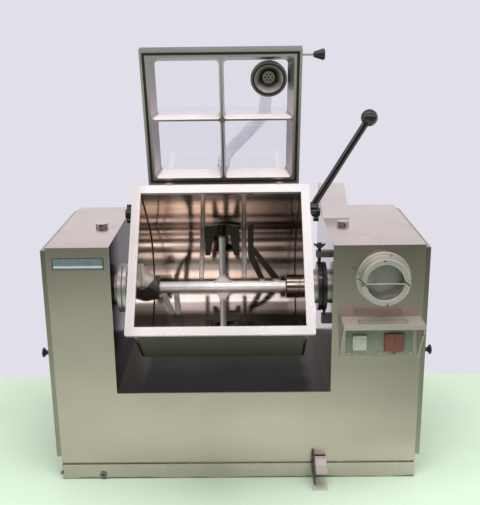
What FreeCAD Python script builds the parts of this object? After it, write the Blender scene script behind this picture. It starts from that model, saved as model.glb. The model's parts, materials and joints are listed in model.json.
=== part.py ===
import FreeCAD, Part
import math
import os
import Sketcher

# Vacuum meat mixer: a stainless cabinet with two columns, a tilting bowl hung between them on
# hollow trunnions, a mixing tool that turns inside the bowl, and a windowed vacuum lid.
# Millimetres. X runs to the right across the front, Y to the back, Z up.
# The origin is the middle of the cabinet's footprint, on the floor.

SIZES = {
    # cabinet
    "width": 1100,
    "depth": 520,
    "column_top": 755,
    "left_column": 185,
    "right_column": 266,
    "well_floor": 293,
    "panel_wall": 3,
    "plinth_height": 50,
    "groove_height": 7,
    "groove_depth": 8,
    "lip_height": 3,
    "pan_wall": 20,
    "pan_floor": 5,
    "cover_depth": 16,
    "cover_wall": 2.5,
    "cover_low": 75,
    "cover_drop": 10,
    "cover_inset": 8,
    "opening_frame": 40,
    "cover_knob_height": 420,
    "cover_knob_inset": 24,
    "cover_knob_radius": 15,
    "cover_knob_length": 20,
    "cover_knob_round": 2,
    "cover_knob_rim": 5,
    "cover_knob_flare": 9,
    "cover_knob_flare_radius": 9.3,
    "cover_knob_neck": 13,
    "cover_knob_neck_radius": 6.6,
    "cover_knob_foot_radius": 9,
    "stud_radius": 5,
    "cap_radius": 19.5,
    "cap_height": 12,
    "cap_neck": 14,
    "cap_neck_length": 8,
    "left_cap_inset": 125,
    "right_cap_inset": 211,
    "cap_from_front": 245,
    "plate_width": 150,
    "plate_height": 36,
    "plate_thickness": 1.5,
    "plate_inset": 18,
    "plate_drop": 67,
    "ramp_width": 89,
    "ramp_length": 186,
    "ramp_height": 79,
    "ramp_wall": 2,
    "ramp_toe": 12,
    # filter glass on the right column
    "filter_inset": 120,
    "filter_drop": 100,
    "filter_flange_radius": 80,
    "filter_flange": 6,
    "filter_chamfer": 1.5,
    "filter_drum_radius": 71,
    "filter_drum": 32,
    "filter_bore": 62,
    "filter_ring": 8,
    "filter_window": 53.5,
    "filter_lip": 3,
    "ring_round": 2,
    "clip_half": 9,
    "clip_low": 8,
    "clip_tip": 5,
    "clip_height": 5,
    "glass_thickness": 5,
    "bail_radius": 2,
    "bail_drop": 2,
    "bail_overhang": 6,
    "bail_gap": 0.3,
    "port_radius": 12,
    "port_offset": 34,
    "port_proud": 4,
    # hood and switches
    "hood_inset": 6,
    "hood_width": 235,
    "hood_below_filter": 118,
    "hood_height": 133,
    "hood_reach": 77,
    "hood_lip": 14,
    "hood_wall": 2.5,
    "recess_width": 150,
    "recess_reach": 34,
    "recess_depth": 1.2,
    "switch_plate_width": 200,
    "switch_plate_height": 108,
    "switch_plate_drop": 124,
    "switch_wall": 2,
    "start_inset": 57.5,
    "start_width": 41,
    "start_height": 46,
    "start_drop": 105,
    "stop_inset": 160.5,
    "stop_width": 57,
    "stop_height": 56,
    "stop_drop": 110,
    "button_gap": 0.5,
    "button_seat": 6,
    "switch_body_depth": 52,
    "switch_well_depth": 12,
    "button_proud": 9,
    "button_corner": 5,
    "tab_reach": 8,
    "tab_top_half": 7,
    "tab_tip_half": 5,
    "crease_half": 1,
    "crease_low": 12,
    "crease_high": 6,
    "crease_depth": 1.2,
    "rib_height": 2,
    "rib_low": 8,
    "rib_high": 10,
    "thin_rib_from": 13,
    "thin_rib_to": 10,
    "wide_rib_from": 5,
    "wide_rib_to": 15,
    "tab_thickness": 2,
    "button_travel": 4,
    "switch_frame": 8,
    "screw_radius": 3,
    "screw_head": 2.5,
    "plate_screw_inset": 8,
    "plate_screw_rise": 7,
    "back_screw_radius": 5,
    "back_screw_inset": 12,
    "back_screw_rise": 20,
    # bowl
    "axis_from_front": 103,
    "axis_height": 598,
    "tilt": 49.5,
    "bowl_radius": 205,
    "bowl_wall": 5,
    "bowl_end": 8,
    "rim_height": 225,
    "rim_flange": 24.5,
    "rim_thickness": 10,
    "rim_corner": 5,
    "baffle_radius": 7.5,
    "baffle_offset": 66,
    "baffle_reach": 30,
    "baffle_turn": 10,
    # trunnions
    "trunnion_length": 46,
    "disc_radius": 74,
    "disc_thickness": 12.5,
    "disc_chamfer": 1.5,
    "notch_seat": 1.5,
    "notch_clear": 1,
    "notch_overrun": 4,
    "disc_gap": 1,
    "boss_radius": 52,
    "wall_boss": 11.5,
    "spigot_radius": 46,
    "journal_radius": 38,
    "journal_tail": 8,
    "upright_thickness": 15,
    "upright_width": 150,
    "upright_rise": 62,
    "running_gap": 0.05,
    "free_gap": 0.5,
    # mixing tool
    "tool_half": 191.5,
    "shaft_radius": 17.5,
    "hub_radius": 35,
    "hub_length": 41,
    "hub_chamfer": 3,
    "right_stub": 6,
    "arm_width": 20,
    "arm_thickness": 18,
    "arm_fillet": 25,
    "arm_sink": 2,
    "arm_shoulder": 12,
    "fork_radius": 197,
    "fork_half": 51,
    "fork_bar": 30,
    "fork_crown": 12,
    "fork_slope": 6,
    "prong_tip_radius": 103,
    "prong_root": 23,
    "prong_tip": 36,
    "blade_low": 85,
    "right_blade": 86.5,
    "left_blade": 133,
    "blade_width": 17,
    "blade_neck": 14,
    "blade_shoulder": 42,
    "blade_chamfer": 10,
    "blade_bevel": 5,
    "leg_radius": 8,
    "leg_thickness": 12.8,
    "right_outer_leg": 168,
    "right_inner_leg": 125,
    "left_outer_leg": 182,
    "left_inner_leg": 143,
    "leg_sink": 6,
    "leg_foot": 12,
    "share_reach": 112,
    "share_top": 111,
    "share_low": 42,
    "share_plate": 6,
    # drive
    "pulley_gap": 49.5,
    "pulley_width": 36,
    "pulley_radius": 80,
    "motor_pulley_radius": 34,
    "belt_thickness": 8,
    "pulley_rim": 4,
    "motor_height": 165,
    "motor_radius": 75,
    "motor_length": 260,
    "motor_shaft_radius": 14,
    "motor_back": 20,
    "motor_shaft_gap": 6,
    "gearbox_gap": 40,
    "gearbox_length": 150,
    "gearbox_margin": 5,
    "gearbox_above": 10,
    "motor_fin": 5,
    "motor_fin_reach": 6,
    "motor_fin_pitch": 40,
    "motor_fin_start": 18,
    "motor_fins": 4,
    # vacuum pump
    "pump_from_front": 110,
    "pump_top": 235,
    "pump_inlet": 30,
    "pump_inlet_radius": 22,
    "pump_left": 60,
    "pump_right": 70,
    "pump_front": 70,
    "pump_length": 220,
    "pump_motor_height": 90,
    "pump_motor_length": 130,
    "pump_motor_radius": 70,
    "pump_box_width": 35,
    "pump_box_from": 50,
    "pump_box_length": 140,
    "pump_box_low": 40,
    "pump_box_high": 150,
    "pump_foot_half": 50,
    "pump_foot_length": 120,
    "pump_foot_height": 60,
    # index plunger
    "plunger_radius": 5,
    "plunger_travel": 9,
    "plunger_parked": 1.5,
    "guide_clear": 20,
    "guide_height": 18,
    "guide_half": 10,
    "guide_depth": 24,
    "wing_clear": 1,
    "wing_width": 34,
    "wing_thickness": 10,
    "wing_foot_half": 8,
    "wing_waist": 10,
    "wing_rise": 4,
    "wing_low": 8,
    "wing_notch": 10,
    "wing_high": 13,
    "wing_notch_half": 9,
    "wing_crown_half": 5,
    "wing_crown": 15,
    "tilt_forward": 45,
    "limit_drop": 2,
    "limit_roller_radius": 4.5,
    "limit_roller_width": 8,
    "limit_stem": 10,
    "limit_stem_radius": 3,
    "limit_stem_inset": 14,
    "limit_case_width": 22,
    "limit_case_depth": 24,
    "limit_case_height": 28,
    # lid
    "lid_open": 124.4,
    "hinge_along": 234,
    "hinge_above": 38,
    "hinge_radius": 8,
    "hinge_past_bowl": 63,
    "lug_half": 20,
    "lug_nose": 16,
    "lid_overlap": 17,
    "lid_length": 455,
    "lid_depth": 30,
    "lid_face_width": 24,
    "lid_bar_width": 43,
    "lid_gap": 1.3,
    "rib_narrow": 6,
    "rib_wide": 16,
    "window_fillet": 14,
    "seal_inset": 8,
    "seal_width": 8,
    "seal_depth": 4,
    "seal_proud": 1,
    "lid_arm_inset": 48,
    "lid_arm_width": 12,
    "lid_arm_depth": 24,
    "lid_arm_lap": 14,
    "lid_arm_heel": 8,
    "lid_arm_bend": 30,
    "lid_arm_shift": 11,
    "lug_thickness": 10,
    "lug_clear": 1,
    "panel_inset": 8,
    "panel_thickness": 8,
    "port_side_gap": 2,
    "port_end_gap": 1,
    "port_ring_radius": 57,
    "port_ring_depth": 14,
    "port_flange": 12.5,
    "port_inner_lip": 14,
    "port_groove_in": 11.5,
    "port_groove_out": 6.5,
    "port_groove_depth": 2.6,
    "port_cup_floor": 6,
    "port_floor": 4,
    "port_shoulder": 20,
    "port_hole": 2.6,
    "port_hole_inset": 9,
    "o_ring_radius": 2.4,
    "port_neck_radius": 20,
    "port_neck_height": 40,
    "port_neck_wall": 3,
    "port_collar": 4,
    "pipe_radius": 20,
    "pipe_bend": 36,
    "pipe_rise": 38,
    "pipe_run_down": 150,
    "pipe_run_across": 10,
    "pipe_end_along": 60,
    "pipe_wall": 2.5,
    "handle_radius": 4,
    "handle_from_edge": 23,
    "handle_reach": 34,
    "handle_knob_length": 35,
    "handle_knob_foot": 7,
    "handle_knob_base": 9,
    "handle_knob_shoulder": 17,
    "handle_knob_radius": 18.5,
    "handle_knob_face": 15,
    "handle_knob_round": 4,
    "handle_knob_flare": 9,
    "handle_socket": 10,
    "star_radius": 30,
    "star_thickness": 16,
    "star_seat": 5,
    "star_hub_radius": 13.5,
    "star_hub_proud": 10,
    "star_bite_place": 33.6,
    "star_bite_radius": 11.4,
    # tilting lever
    "lever_along": 197,
    "lever_above": 137,
    "lever_boss_radius": 17,
    "lever_set_back": 14,
    "lever_wall_gap": 41,
    "lever_radius": 10.5,
    "lever_length": 296,
    "lever_lean": 31.5,
    "lever_swing": 49.15,
    "ball_radius": 25,
    "ball_sink": 7.5,
    "lever_socket": 4,
    # foot pedal
    "pedal_inset": 318,
    "pedal_width": 42,
    "pedal_reach": 78,
    "pedal_plate": 5,
    "cheek_height": 96,
    "cheek_toe": 12,
    "cheek_shoulder": 84,
    "cheek_shoulder_reach": 30,
    "cheek_top_reach": 8,
    "pedal_foot": 40,
    "pedal_bolt_radius": 4,
    "pedal_bolt_head": 3,
    "pedal_bolt_reach": 5,
    "pedal_bolt_high": 82,
    "pedal_bolt_low": 60,
    "pedal_pin_height": 68,
    "pedal_pin_reach": 14,
    "pedal_pin_radius": 4,
    "pedal_boss": 9,
    "pedal_side_gap": 1,
    "pedal_knee": 24,
    "pedal_knee_drop": 6,
    "pedal_toe": 54,
    "pedal_toe_high": 10,
    "pedal_toe_low": 16,
    "pedal_toe_tip": 56,
    "pedal_under": 20,
    "pedal_under_drop": 14,
    "pedal_turn": 12,
}

X_AXIS = FreeCAD.Vector(1, 0, 0)
Y_AXIS = FreeCAD.Vector(0, 1, 0)
Z_AXIS = FreeCAD.Vector(0, 0, 1)

doc = FreeCAD.newDocument("vacuum_meat_mixer")
sheet = doc.addObject("Spreadsheet::Sheet", "sizes")
nodes = {}


class Size:
    """A number together with the formula that gives it from the sheet's cells."""

    def __init__(self, value, formula):
        self.value = float(value)
        self.formula = formula

    def __add__(self, other):
        other = as_size(other)
        return Size(self.value + other.value, f"({self.formula} + {other.formula})")

    def __radd__(self, other):
        return as_size(other) + self

    def __sub__(self, other):
        other = as_size(other)
        return Size(self.value - other.value, f"({self.formula} - {other.formula})")

    def __rsub__(self, other):
        return as_size(other) - self

    def __mul__(self, other):
        other = as_size(other)
        return Size(self.value * other.value, f"({self.formula} * {other.formula})")

    def __rmul__(self, other):
        return as_size(other) * self

    def __truediv__(self, other):
        other = as_size(other)
        return Size(self.value / other.value, f"({self.formula} / {other.formula})")

    def __neg__(self):
        return Size(-self.value, f"(0 - {self.formula})")


def as_size(value):
    if isinstance(value, Size):
        return value
    return Size(value, f"({float(value)!r})")


def sine(angle):
    angle = as_size(angle)
    return Size(math.sin(math.radians(angle.value)), f"sin({angle.formula})")


def cosine(angle):
    angle = as_size(angle)
    return Size(math.cos(math.radians(angle.value)), f"cos({angle.formula})")


class Cells:
    """The sheet's cells by name, each as a Size."""


cell = Cells()
for row, (name, number) in enumerate(SIZES.items(), 1):
    sheet.set(f"A{row}", name)
    sheet.set(f"B{row}", str(number))
    sheet.setAlias(f"B{row}", name)
    setattr(cell, name, Size(number, f"sizes.{name}"))
doc.recompute()


# Placing and naming

def bind(item, prop, size):
    item.setExpression(prop, as_size(size).formula)


def place(item, x=0, y=0, z=0, turn=0, axis=X_AXIS):
    """Put an object at x, y, z, turned by an angle about an axis."""
    x, y, z, turn = as_size(x), as_size(y), as_size(z), as_size(turn)
    spin = FreeCAD.Rotation(axis, turn.value if turn.value else 1)
    item.Placement = FreeCAD.Placement(FreeCAD.Vector(x.value, y.value, z.value), spin)
    bind(item, "Placement.Rotation.Angle", turn)
    bind(item, "Placement.Base.x", x)
    bind(item, "Placement.Base.y", y)
    bind(item, "Placement.Base.z", z)
    return item


def node(name, item):
    """Give a finished sub-part the name that a person would use."""
    item.Label = name
    nodes[name] = item
    return item


# Primitives and booleans

def block(x0, x1, y0, y1, z0, z1):
    item = doc.addObject("Part::Box", "block")
    bind(item, "Length", as_size(x1) - x0)
    bind(item, "Width", as_size(y1) - y0)
    bind(item, "Height", as_size(z1) - z0)
    return place(item, x0, y0, z0)


TURNS = {"x": (Y_AXIS, 90), "y": (X_AXIS, -90), "z": (Z_AXIS, 0)}


def rod(direction, start, u, v, length, radius):
    """A cylinder along one axis; u and v are its other two coordinates, in X, Y, Z order."""
    item = doc.addObject("Part::Cylinder", "rod")
    bind(item, "Radius", radius)
    bind(item, "Height", length)
    spots = {"x": (start, u, v), "y": (u, start, v), "z": (u, v, start)}
    axis, turn = TURNS[direction]
    return place(item, *spots[direction], turn=turn, axis=axis)


def ball(x, y, z, radius):
    item = doc.addObject("Part::Sphere", "ball")
    bind(item, "Radius", radius)
    return place(item, x, y, z)


def cut(base, *tools):
    for tool in tools:
        item = doc.addObject("Part::Cut", "cut")
        item.Base = base
        item.Tool = tool
        base = item
    return base


def fuse(*shapes):
    item = doc.addObject("Part::MultiFuse", "fuse")
    item.Shapes = list(shapes)
    item.Refine = True
    return item


def group(*shapes):
    item = doc.addObject("Part::Compound", "group")
    item.Links = list(shapes)
    return item


# Bodies with sketches

def new_body(name):
    item = doc.addObject("PartDesign::Body", name)
    node(name, item)
    return item


def sketch(body, role, offset=0):
    """A sketch on one of the body's own planes, moved along that plane's normal."""
    flat = body.newObject("Sketcher::SketchObject", "sketch")
    plane = [item for item in body.Origin.OriginFeatures if item.Role == role][0]
    flat.AttachmentSupport = (plane, [""])
    flat.MapMode = "FlatFace"
    bind(flat, "AttachmentOffset.Base.z", offset)
    return flat


def pin_point(flat, edge, end, spot):
    for kind, size in zip(("DistanceX", "DistanceY"), spot):
        size = as_size(size)
        index = flat.addConstraint(Sketcher.Constraint(kind, -1, 1, edge, end, size.value))
        flat.setExpression(f"Constraints[{index}]", size.formula)


def outline(flat, points):
    """A closed outline of straight lines, each corner held by its two distances."""
    first = flat.GeometryCount
    count = len(points)
    spots = [FreeCAD.Vector(as_size(u).value, as_size(v).value, 0) for u, v in points]
    for index in range(count):
        flat.addGeometry(Part.LineSegment(spots[index], spots[(index + 1) % count]), False)
    for index in range(count):
        after = first + (index + 1) % count
        flat.addConstraint(Sketcher.Constraint("Coincident", first + index, 2, after, 1))
    for index, spot in enumerate(points):
        pin_point(flat, first + index, 1, spot)
    return flat


def rectangle(flat, u0, u1, v0, v1):
    return outline(flat, [(u0, v0), (u1, v0), (u1, v1), (u0, v1)])


def circle(flat, u, v, radius):
    u, v, radius = as_size(u), as_size(v), as_size(radius)
    centre = FreeCAD.Vector(u.value, v.value, 0)
    edge = flat.addGeometry(Part.Circle(centre, Z_AXIS, radius.value), False)
    index = flat.addConstraint(Sketcher.Constraint("Radius", edge, radius.value))
    flat.setExpression(f"Constraints[{index}]", radius.formula)
    pin_point(flat, edge, 3, (u, v))
    return flat


def trough_outline(flat, radius, top):
    """A half circle below the origin with two upright sides, closed at the top."""
    r, high = as_size(radius), as_size(top)
    corner = FreeCAD.Vector
    half = Part.ArcOfCircle(Part.Circle(corner(0, 0, 0), Z_AXIS, r.value), math.pi, 2 * math.pi)
    arc = flat.addGeometry(half, False)
    right = flat.addGeometry(Part.LineSegment(corner(r.value, 0, 0), corner(r.value, high.value, 0)))
    lid = flat.addGeometry(
        Part.LineSegment(corner(r.value, high.value, 0), corner(-r.value, high.value, 0)))
    left = flat.addGeometry(Part.LineSegment(corner(-r.value, high.value, 0), corner(-r.value, 0, 0)))
    for a, a_end, b, b_end in ((arc, 2, right, 1), (right, 2, lid, 1), (lid, 2, left, 1), (left, 2, arc, 1)):
        flat.addConstraint(Sketcher.Constraint("Coincident", a, a_end, b, b_end))
    flat.addConstraint(Sketcher.Constraint("Coincident", arc, 3, -1, 1))
    for end in (1, 2):
        flat.addConstraint(Sketcher.Constraint("PointOnObject", arc, end, -1))
    index = flat.addConstraint(Sketcher.Constraint("Radius", arc, r.value))
    flat.setExpression(f"Constraints[{index}]", r.formula)
    pin_point(flat, lid, 1, (r, high))
    pin_point(flat, lid, 2, (-r, high))
    return flat


def pad(body, flat, length, both=False, back=False):
    feature = body.newObject("PartDesign::Pad", "pad")
    feature.Profile = flat
    bind(feature, "Length", length)
    if both:
        feature.SideType = "Symmetric"
    feature.Reversed = back
    doc.recompute()
    return feature


def pocket(body, flat, depth, both=False, back=False):
    feature = body.newObject("PartDesign::Pocket", "pocket")
    feature.Profile = flat
    bind(feature, "Length", depth)
    if both:
        feature.SideType = "Symmetric"
    feature.Reversed = back
    doc.recompute()
    return feature


def turned(body, flat, axis="H_Axis"):
    feature = body.newObject("PartDesign::Revolution", "turned")
    feature.Profile = flat
    feature.ReferenceAxis = (flat, [axis])
    feature.Angle = 360
    doc.recompute()
    return feature


def rounded(body, feature, radius, wanted):
    """Fillet the edges of a feature for which wanted(edge) is true."""
    edges = enumerate(feature.Shape.Edges, 1)
    names = [f"Edge{number}" for number, edge in edges if wanted(edge)]
    fillet = body.newObject("PartDesign::Fillet", "rounded")
    fillet.Base = (feature, names)
    bind(fillet, "Radius", radius)
    doc.recompute()
    return fillet


def along(axis, spots=None, within=0.5):
    """A test for straight edges along an axis, at given places in the other two coordinates."""
    def wanted(edge):
        if not isinstance(edge.Curve, Part.Line):
            return False
        if abs(abs(edge.tangentAt(edge.FirstParameter).dot(axis)) - 1) > 1e-6:
            return False
        if spots is None:
            return True
        middle = edge.CenterOfMass
        flat = [value for value, part in zip(middle, axis) if abs(part) < 0.5]
        for spot in spots:
            if all(abs(a - as_size(b).value) < within for a, b in zip(flat, spot)):
                return True
        return False
    return wanted


# Main places, worked out from the sheet

left_side = -cell.width / 2
right_side = cell.width / 2
front = -cell.depth / 2
back = cell.depth / 2
gap_left = left_side + cell.left_column
gap_right = right_side - cell.right_column
centre = (gap_left + gap_right) / 2
half_gap = (gap_right - gap_left) / 2
wall = cell.panel_wall
groove_top = cell.plinth_height + cell.groove_height
shell_low = groove_top + cell.lip_height
axis_y = front + cell.axis_from_front
axis_z = cell.axis_height
filter_z = cell.column_top - cell.filter_drop
hood_top = filter_z - cell.hood_below_filter
hood_low = hood_top - cell.hood_height
switch_plate_low = hood_top - cell.switch_plate_drop
start_low = hood_top - cell.start_drop
stop_low = hood_top - cell.stop_drop
flange_disc_in = half_gap - cell.wall_boss - cell.disc_thickness
bowl_disc_out = flange_disc_in - cell.disc_gap
bowl_disc_in = bowl_disc_out - cell.disc_thickness
end_out = bowl_disc_in - cell.trunnion_length
bowl_half = end_out - cell.bowl_end
arm_offset = bowl_half - cell.lid_arm_inset
hinge_half = bowl_half + cell.hinge_past_bowl
rim_under = cell.rim_height - cell.rim_thickness
bowl_outer = cell.bowl_radius + cell.bowl_wall
upright_out = half_gap + wall + cell.upright_thickness
journal_end = upright_out + cell.journal_tail
motor_y = axis_y + cell.motor_back
pulley_out = journal_end + cell.pulley_gap
pulley_mid = centre - pulley_out
SIDES = (("left", -1), ("right", 1))


# Cabinet

def make_base_pan():
    body = new_body("base_pan")
    pad(body, rectangle(sketch(body, "XY_Plane"), left_side, right_side, front, back), cell.plinth_height)
    inset = cell.groove_depth
    web = sketch(body, "XY_Plane", cell.plinth_height)
    rectangle(web, left_side + inset, right_side - inset, front + inset, back - inset)
    pad(body, web, cell.groove_height)
    lip = rectangle(sketch(body, "XY_Plane", groove_top), left_side, right_side, front, back)
    pad(body, lip, cell.lip_height)
    inside = sketch(body, "XY_Plane", shell_low)
    side = cell.pan_wall
    rectangle(inside, left_side + side, right_side - side, front + side, back - side)
    pocket(body, inside, shell_low - cell.pan_floor)


def u_panel(body, y_start):
    """The front or back sheet: two columns and the low part between them."""
    flat = sketch(body, "XZ_Plane", -y_start)
    outline(flat, [
        (left_side, shell_low), (right_side, shell_low), (right_side, cell.column_top),
        (gap_right, cell.column_top), (gap_right, cell.well_floor), (gap_left, cell.well_floor),
        (gap_left, cell.column_top), (left_side, cell.column_top),
    ])
    return pad(body, flat, wall, back=True)


filter_x = right_side - cell.filter_inset
hood_left = right_side - cell.hood_inset - cell.hood_width
hood_right = right_side - cell.hood_inset
start_x = hood_left + cell.start_inset
stop_x = hood_left + cell.stop_inset


def make_front_panel():
    body = new_body("front_panel")
    u_panel(body, front)
    holes = sketch(body, "XZ_Plane", -front)
    circle(holes, filter_x - cell.port_offset, filter_z, cell.port_radius + cell.free_gap)
    for x, width, low, high in (
        (start_x, cell.start_width, start_low, cell.start_height),
        (stop_x, cell.stop_width, stop_low, cell.stop_height),
    ):
        rim = cell.free_gap
        rectangle(holes, x - width / 2 - rim, x + width / 2 + rim, low - rim, low + high + rim)
    pocket(body, holes, wall * 2, back=False)


def make_back_panel():
    body = new_body("back_panel")
    u_panel(body, back - wall)


def make_casing(name, outer, inner, trunnion_side):
    """The folded sheet of a column: outer side, top and the inner side above the well."""
    body = new_body(name)
    out = 1 if trunnion_side < 0 else -1
    flat = sketch(body, "XZ_Plane", -front - wall)
    outline(flat, [
        (outer, shell_low), (outer, cell.column_top), (inner, cell.column_top),
        (inner, cell.well_floor - wall), (inner - wall * out, cell.well_floor - wall),
        (inner - wall * out, cell.column_top - wall), (outer + wall * out, cell.column_top - wall),
        (outer + wall * out, shell_low),
    ])
    pad(body, flat, cell.depth - wall * 2, back=True)
    bore = circle(sketch(body, "YZ_Plane", inner), axis_y, axis_z, cell.spigot_radius + cell.free_gap)
    pocket(body, bore, wall * 4, both=True)
    hatch = sketch(body, "YZ_Plane", outer)
    edge = cell.opening_frame
    low = cell.cover_low + edge
    rectangle(hatch, front + edge, back - edge, low, cell.column_top - cell.cover_drop - edge)
    pocket(body, hatch, wall * 4, both=True)
    return body


cap_y = front + cell.cap_from_front
left_cap_x = left_side + cell.left_cap_inset
right_cap_x = right_side - cell.right_cap_inset


def make_casings():
    left = make_casing("left_casing", left_side, gap_left, -1)
    right = make_casing("right_casing", right_side, gap_right, 1)
    for body, x in ((left, left_cap_x), (right, right_cap_x)):
        hole = circle(sketch(body, "XY_Plane", cell.column_top), x, cap_y, cell.cap_neck)
        pocket(body, hole, wall * 2)


def make_well_tray():
    node("well_tray", block(gap_left, gap_right, front + wall, back - wall,
                            cell.well_floor - wall, cell.well_floor))


knob_y = front + cell.cover_knob_inset


def make_side_cover(name, side):
    body = new_body(name)
    face = right_side * side
    flat = sketch(body, "YZ_Plane", face)
    inset = cell.cover_inset
    low = cell.cover_low
    high = cell.column_top - cell.cover_drop
    rectangle(flat, front + inset, back - inset, low, high)
    pad(body, flat, cell.cover_depth, back=side < 0)
    skin = cell.cover_wall
    hollow = sketch(body, "YZ_Plane", face)
    rectangle(hollow, front + inset + skin, back - inset - skin, low + skin, high - skin)
    pocket(body, hollow, cell.cover_depth - skin, back=side > 0)
    bore = circle(sketch(body, "YZ_Plane", face), knob_y, cell.cover_knob_height,
                  cell.stud_radius + cell.free_gap)
    pocket(body, bore, cell.cover_depth * 3, both=True)


def make_cover_knob(name, side):
    """A trumpet-shaped turn knob on a stud that draws the side cover home."""
    body = new_body(name)
    flat = sketch(body, "XZ_Plane")
    r, length, stud = cell.cover_knob_radius, cell.cover_knob_length, cell.stud_radius
    tail = cell.cover_depth - cell.free_gap
    outline(flat, [
        (-tail, 0), (length, 0), (length, r - cell.cover_knob_round), (length - cell.cover_knob_round, r),
        (length - cell.cover_knob_rim, r), (length - cell.cover_knob_flare, cell.cover_knob_flare_radius),
        (length - cell.cover_knob_neck, cell.cover_knob_neck_radius),
        (cell.cover_knob_round, cell.cover_knob_neck_radius), (0, cell.cover_knob_foot_radius),
        (0, stud), (-tail, stud),
    ])
    turned(body, flat)
    x = (right_side + cell.cover_depth + cell.free_gap) * side
    place(body, x, knob_y, cell.cover_knob_height, turn=0 if side > 0 else 180, axis=Z_AXIS)


def make_top_caps():
    caps = []
    for x in (left_cap_x, right_cap_x):
        depth = cell.cap_neck_length
        neck = rod("z", cell.column_top - depth, x, cap_y, depth, cell.cap_neck - cell.free_gap)
        head = rod("z", cell.column_top, x, cap_y, cell.cap_height, cell.cap_radius)
        caps.append(fuse(neck, head))
    node("top_caps", group(*caps))


def make_nameplate():
    x = left_side + cell.plate_inset
    low = cell.column_top - cell.plate_drop
    node("nameplate", block(x, x + cell.plate_width, front - cell.plate_thickness, front,
                            low, low + cell.plate_height))


def make_ramp_hood():
    """The sloping hood on the rear left of the right column's top."""
    body = new_body("ramp_hood")
    base = cell.column_top
    rear = back - cell.cover_inset / 2
    start = rear - cell.ramp_length
    flat = sketch(body, "YZ_Plane", gap_right)
    outline(flat, [(start, base), (rear, base), (rear, base + cell.ramp_height)])
    pad(body, flat, cell.ramp_width)
    skin = cell.ramp_wall
    slope = cell.ramp_height / cell.ramp_length
    hollow = sketch(body, "YZ_Plane", gap_right + skin)
    inner_start = start + cell.ramp_toe
    outline(hollow, [
        (inner_start, base), (rear - skin, base),
        (rear - skin, base + (rear - skin - inner_start) * slope),
    ])
    pocket(body, hollow, cell.ramp_width - skin * 2, back=True)


# Vacuum filter with its round glass

def make_filter():
    z = filter_z
    housing = new_body("filter_housing")
    flat = sketch(housing, "XY_Plane")
    floor = cell.filter_flange
    mouth = cell.filter_flange + cell.filter_drum
    lip = cell.filter_drum_radius
    outline(flat, [
        (0, 0), (cell.filter_flange_radius, 0), (cell.filter_flange_radius, -floor + cell.filter_chamfer),
        (cell.filter_flange_radius - cell.filter_chamfer, -floor), (lip, -floor), (lip, -mouth),
        (cell.filter_bore, -mouth), (cell.filter_bore, -floor), (0, -floor),
    ])
    turned(housing, flat, "V_Axis")
    hole = circle(sketch(housing, "XZ_Plane"), -cell.port_offset, 0, cell.port_radius + cell.free_gap)
    pocket(housing, hole, cell.filter_flange * 4, both=True)
    place(housing, filter_x, front, z)

    glass = new_body("filter_glass")
    disc = sketch(glass, "XZ_Plane", mouth)
    circle(disc, 0, 0, lip - cell.filter_lip)
    pad(glass, disc, cell.glass_thickness)
    place(glass, filter_x, front, z)

    ring = new_body("filter_ring")
    flat = sketch(ring, "XY_Plane")
    near = mouth + cell.filter_ring
    seat = mouth + cell.glass_thickness
    window, edge = cell.filter_window, cell.ring_round
    outline(flat, [
        (window, -seat), (lip - cell.filter_lip, -seat), (lip - cell.filter_lip, -mouth), (lip, -mouth),
        (lip, -near + edge), (lip - edge, -near), (window + edge, -near), (window, -near + edge),
    ])
    turned(ring, flat, "V_Axis")
    clips = sketch(ring, "XZ_Plane", near)
    middle = (lip + cell.filter_window) / 2
    for side in (-1, 1):
        outline(clips, [
            (middle * side - cell.clip_half, cell.clip_low), (middle * side - cell.clip_tip, cell.clip_half),
            (middle * side + cell.clip_half, -cell.clip_tip), (middle * side + cell.clip_tip, -cell.clip_low),
        ])
    pad(ring, clips, cell.clip_height)
    bail_y = near + cell.clip_height / 2
    bail = circle(sketch(ring, "YZ_Plane"), -bail_y, -cell.bail_drop, cell.bail_radius + cell.bail_gap)
    pocket(ring, bail, lip * 3, both=True)
    place(ring, filter_x, front, z)

    reach = middle + cell.bail_overhang
    bar = rod("x", filter_x - reach, front - bail_y, z - cell.bail_drop, reach * 2, cell.bail_radius)
    node("filter_bar", bar)


def make_filter_pipe():
    """The suction pipe from the filter housing back and down to the pump."""
    x = filter_x - cell.port_offset
    z = filter_z
    bend_y = front + cell.pump_from_front
    start = front - cell.port_proud
    level = rod("y", start, x, z, bend_y - start, cell.port_radius)
    knee = ball(x, bend_y, z, cell.port_radius)
    down = rod("z", cell.pump_top, x, bend_y, z - cell.pump_top, cell.port_radius)
    node("suction_pipe", fuse(level, knee, down))


# Switch hood

def make_control_hood():
    body = new_body("control_hood")
    deep = front - cell.hood_reach
    skin = cell.hood_wall
    flat = sketch(body, "YZ_Plane", hood_left)
    lip_low = hood_top - cell.hood_lip
    outline(flat, [
        (front, hood_low), (front, hood_top), (deep, hood_top), (deep, lip_low),
        (deep + skin, lip_low),
    ])
    pad(body, flat, cell.hood_width)
    hollow = sketch(body, "YZ_Plane", hood_left + skin)
    under = hood_top - skin
    outline(hollow, [
        (front, hood_low), (front, under), (deep + skin, under), (deep + skin, lip_low),
    ])
    pocket(body, hollow, cell.hood_width - skin * 2, back=True)
    recess = sketch(body, "XY_Plane", hood_top)
    middle = (hood_left + hood_right) / 2
    half = cell.recess_width / 2
    near = deep + (cell.hood_reach - cell.recess_reach) / 2
    rectangle(recess, middle - half, middle + half, near, near + cell.recess_reach)
    pocket(body, recess, cell.recess_depth)


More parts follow.
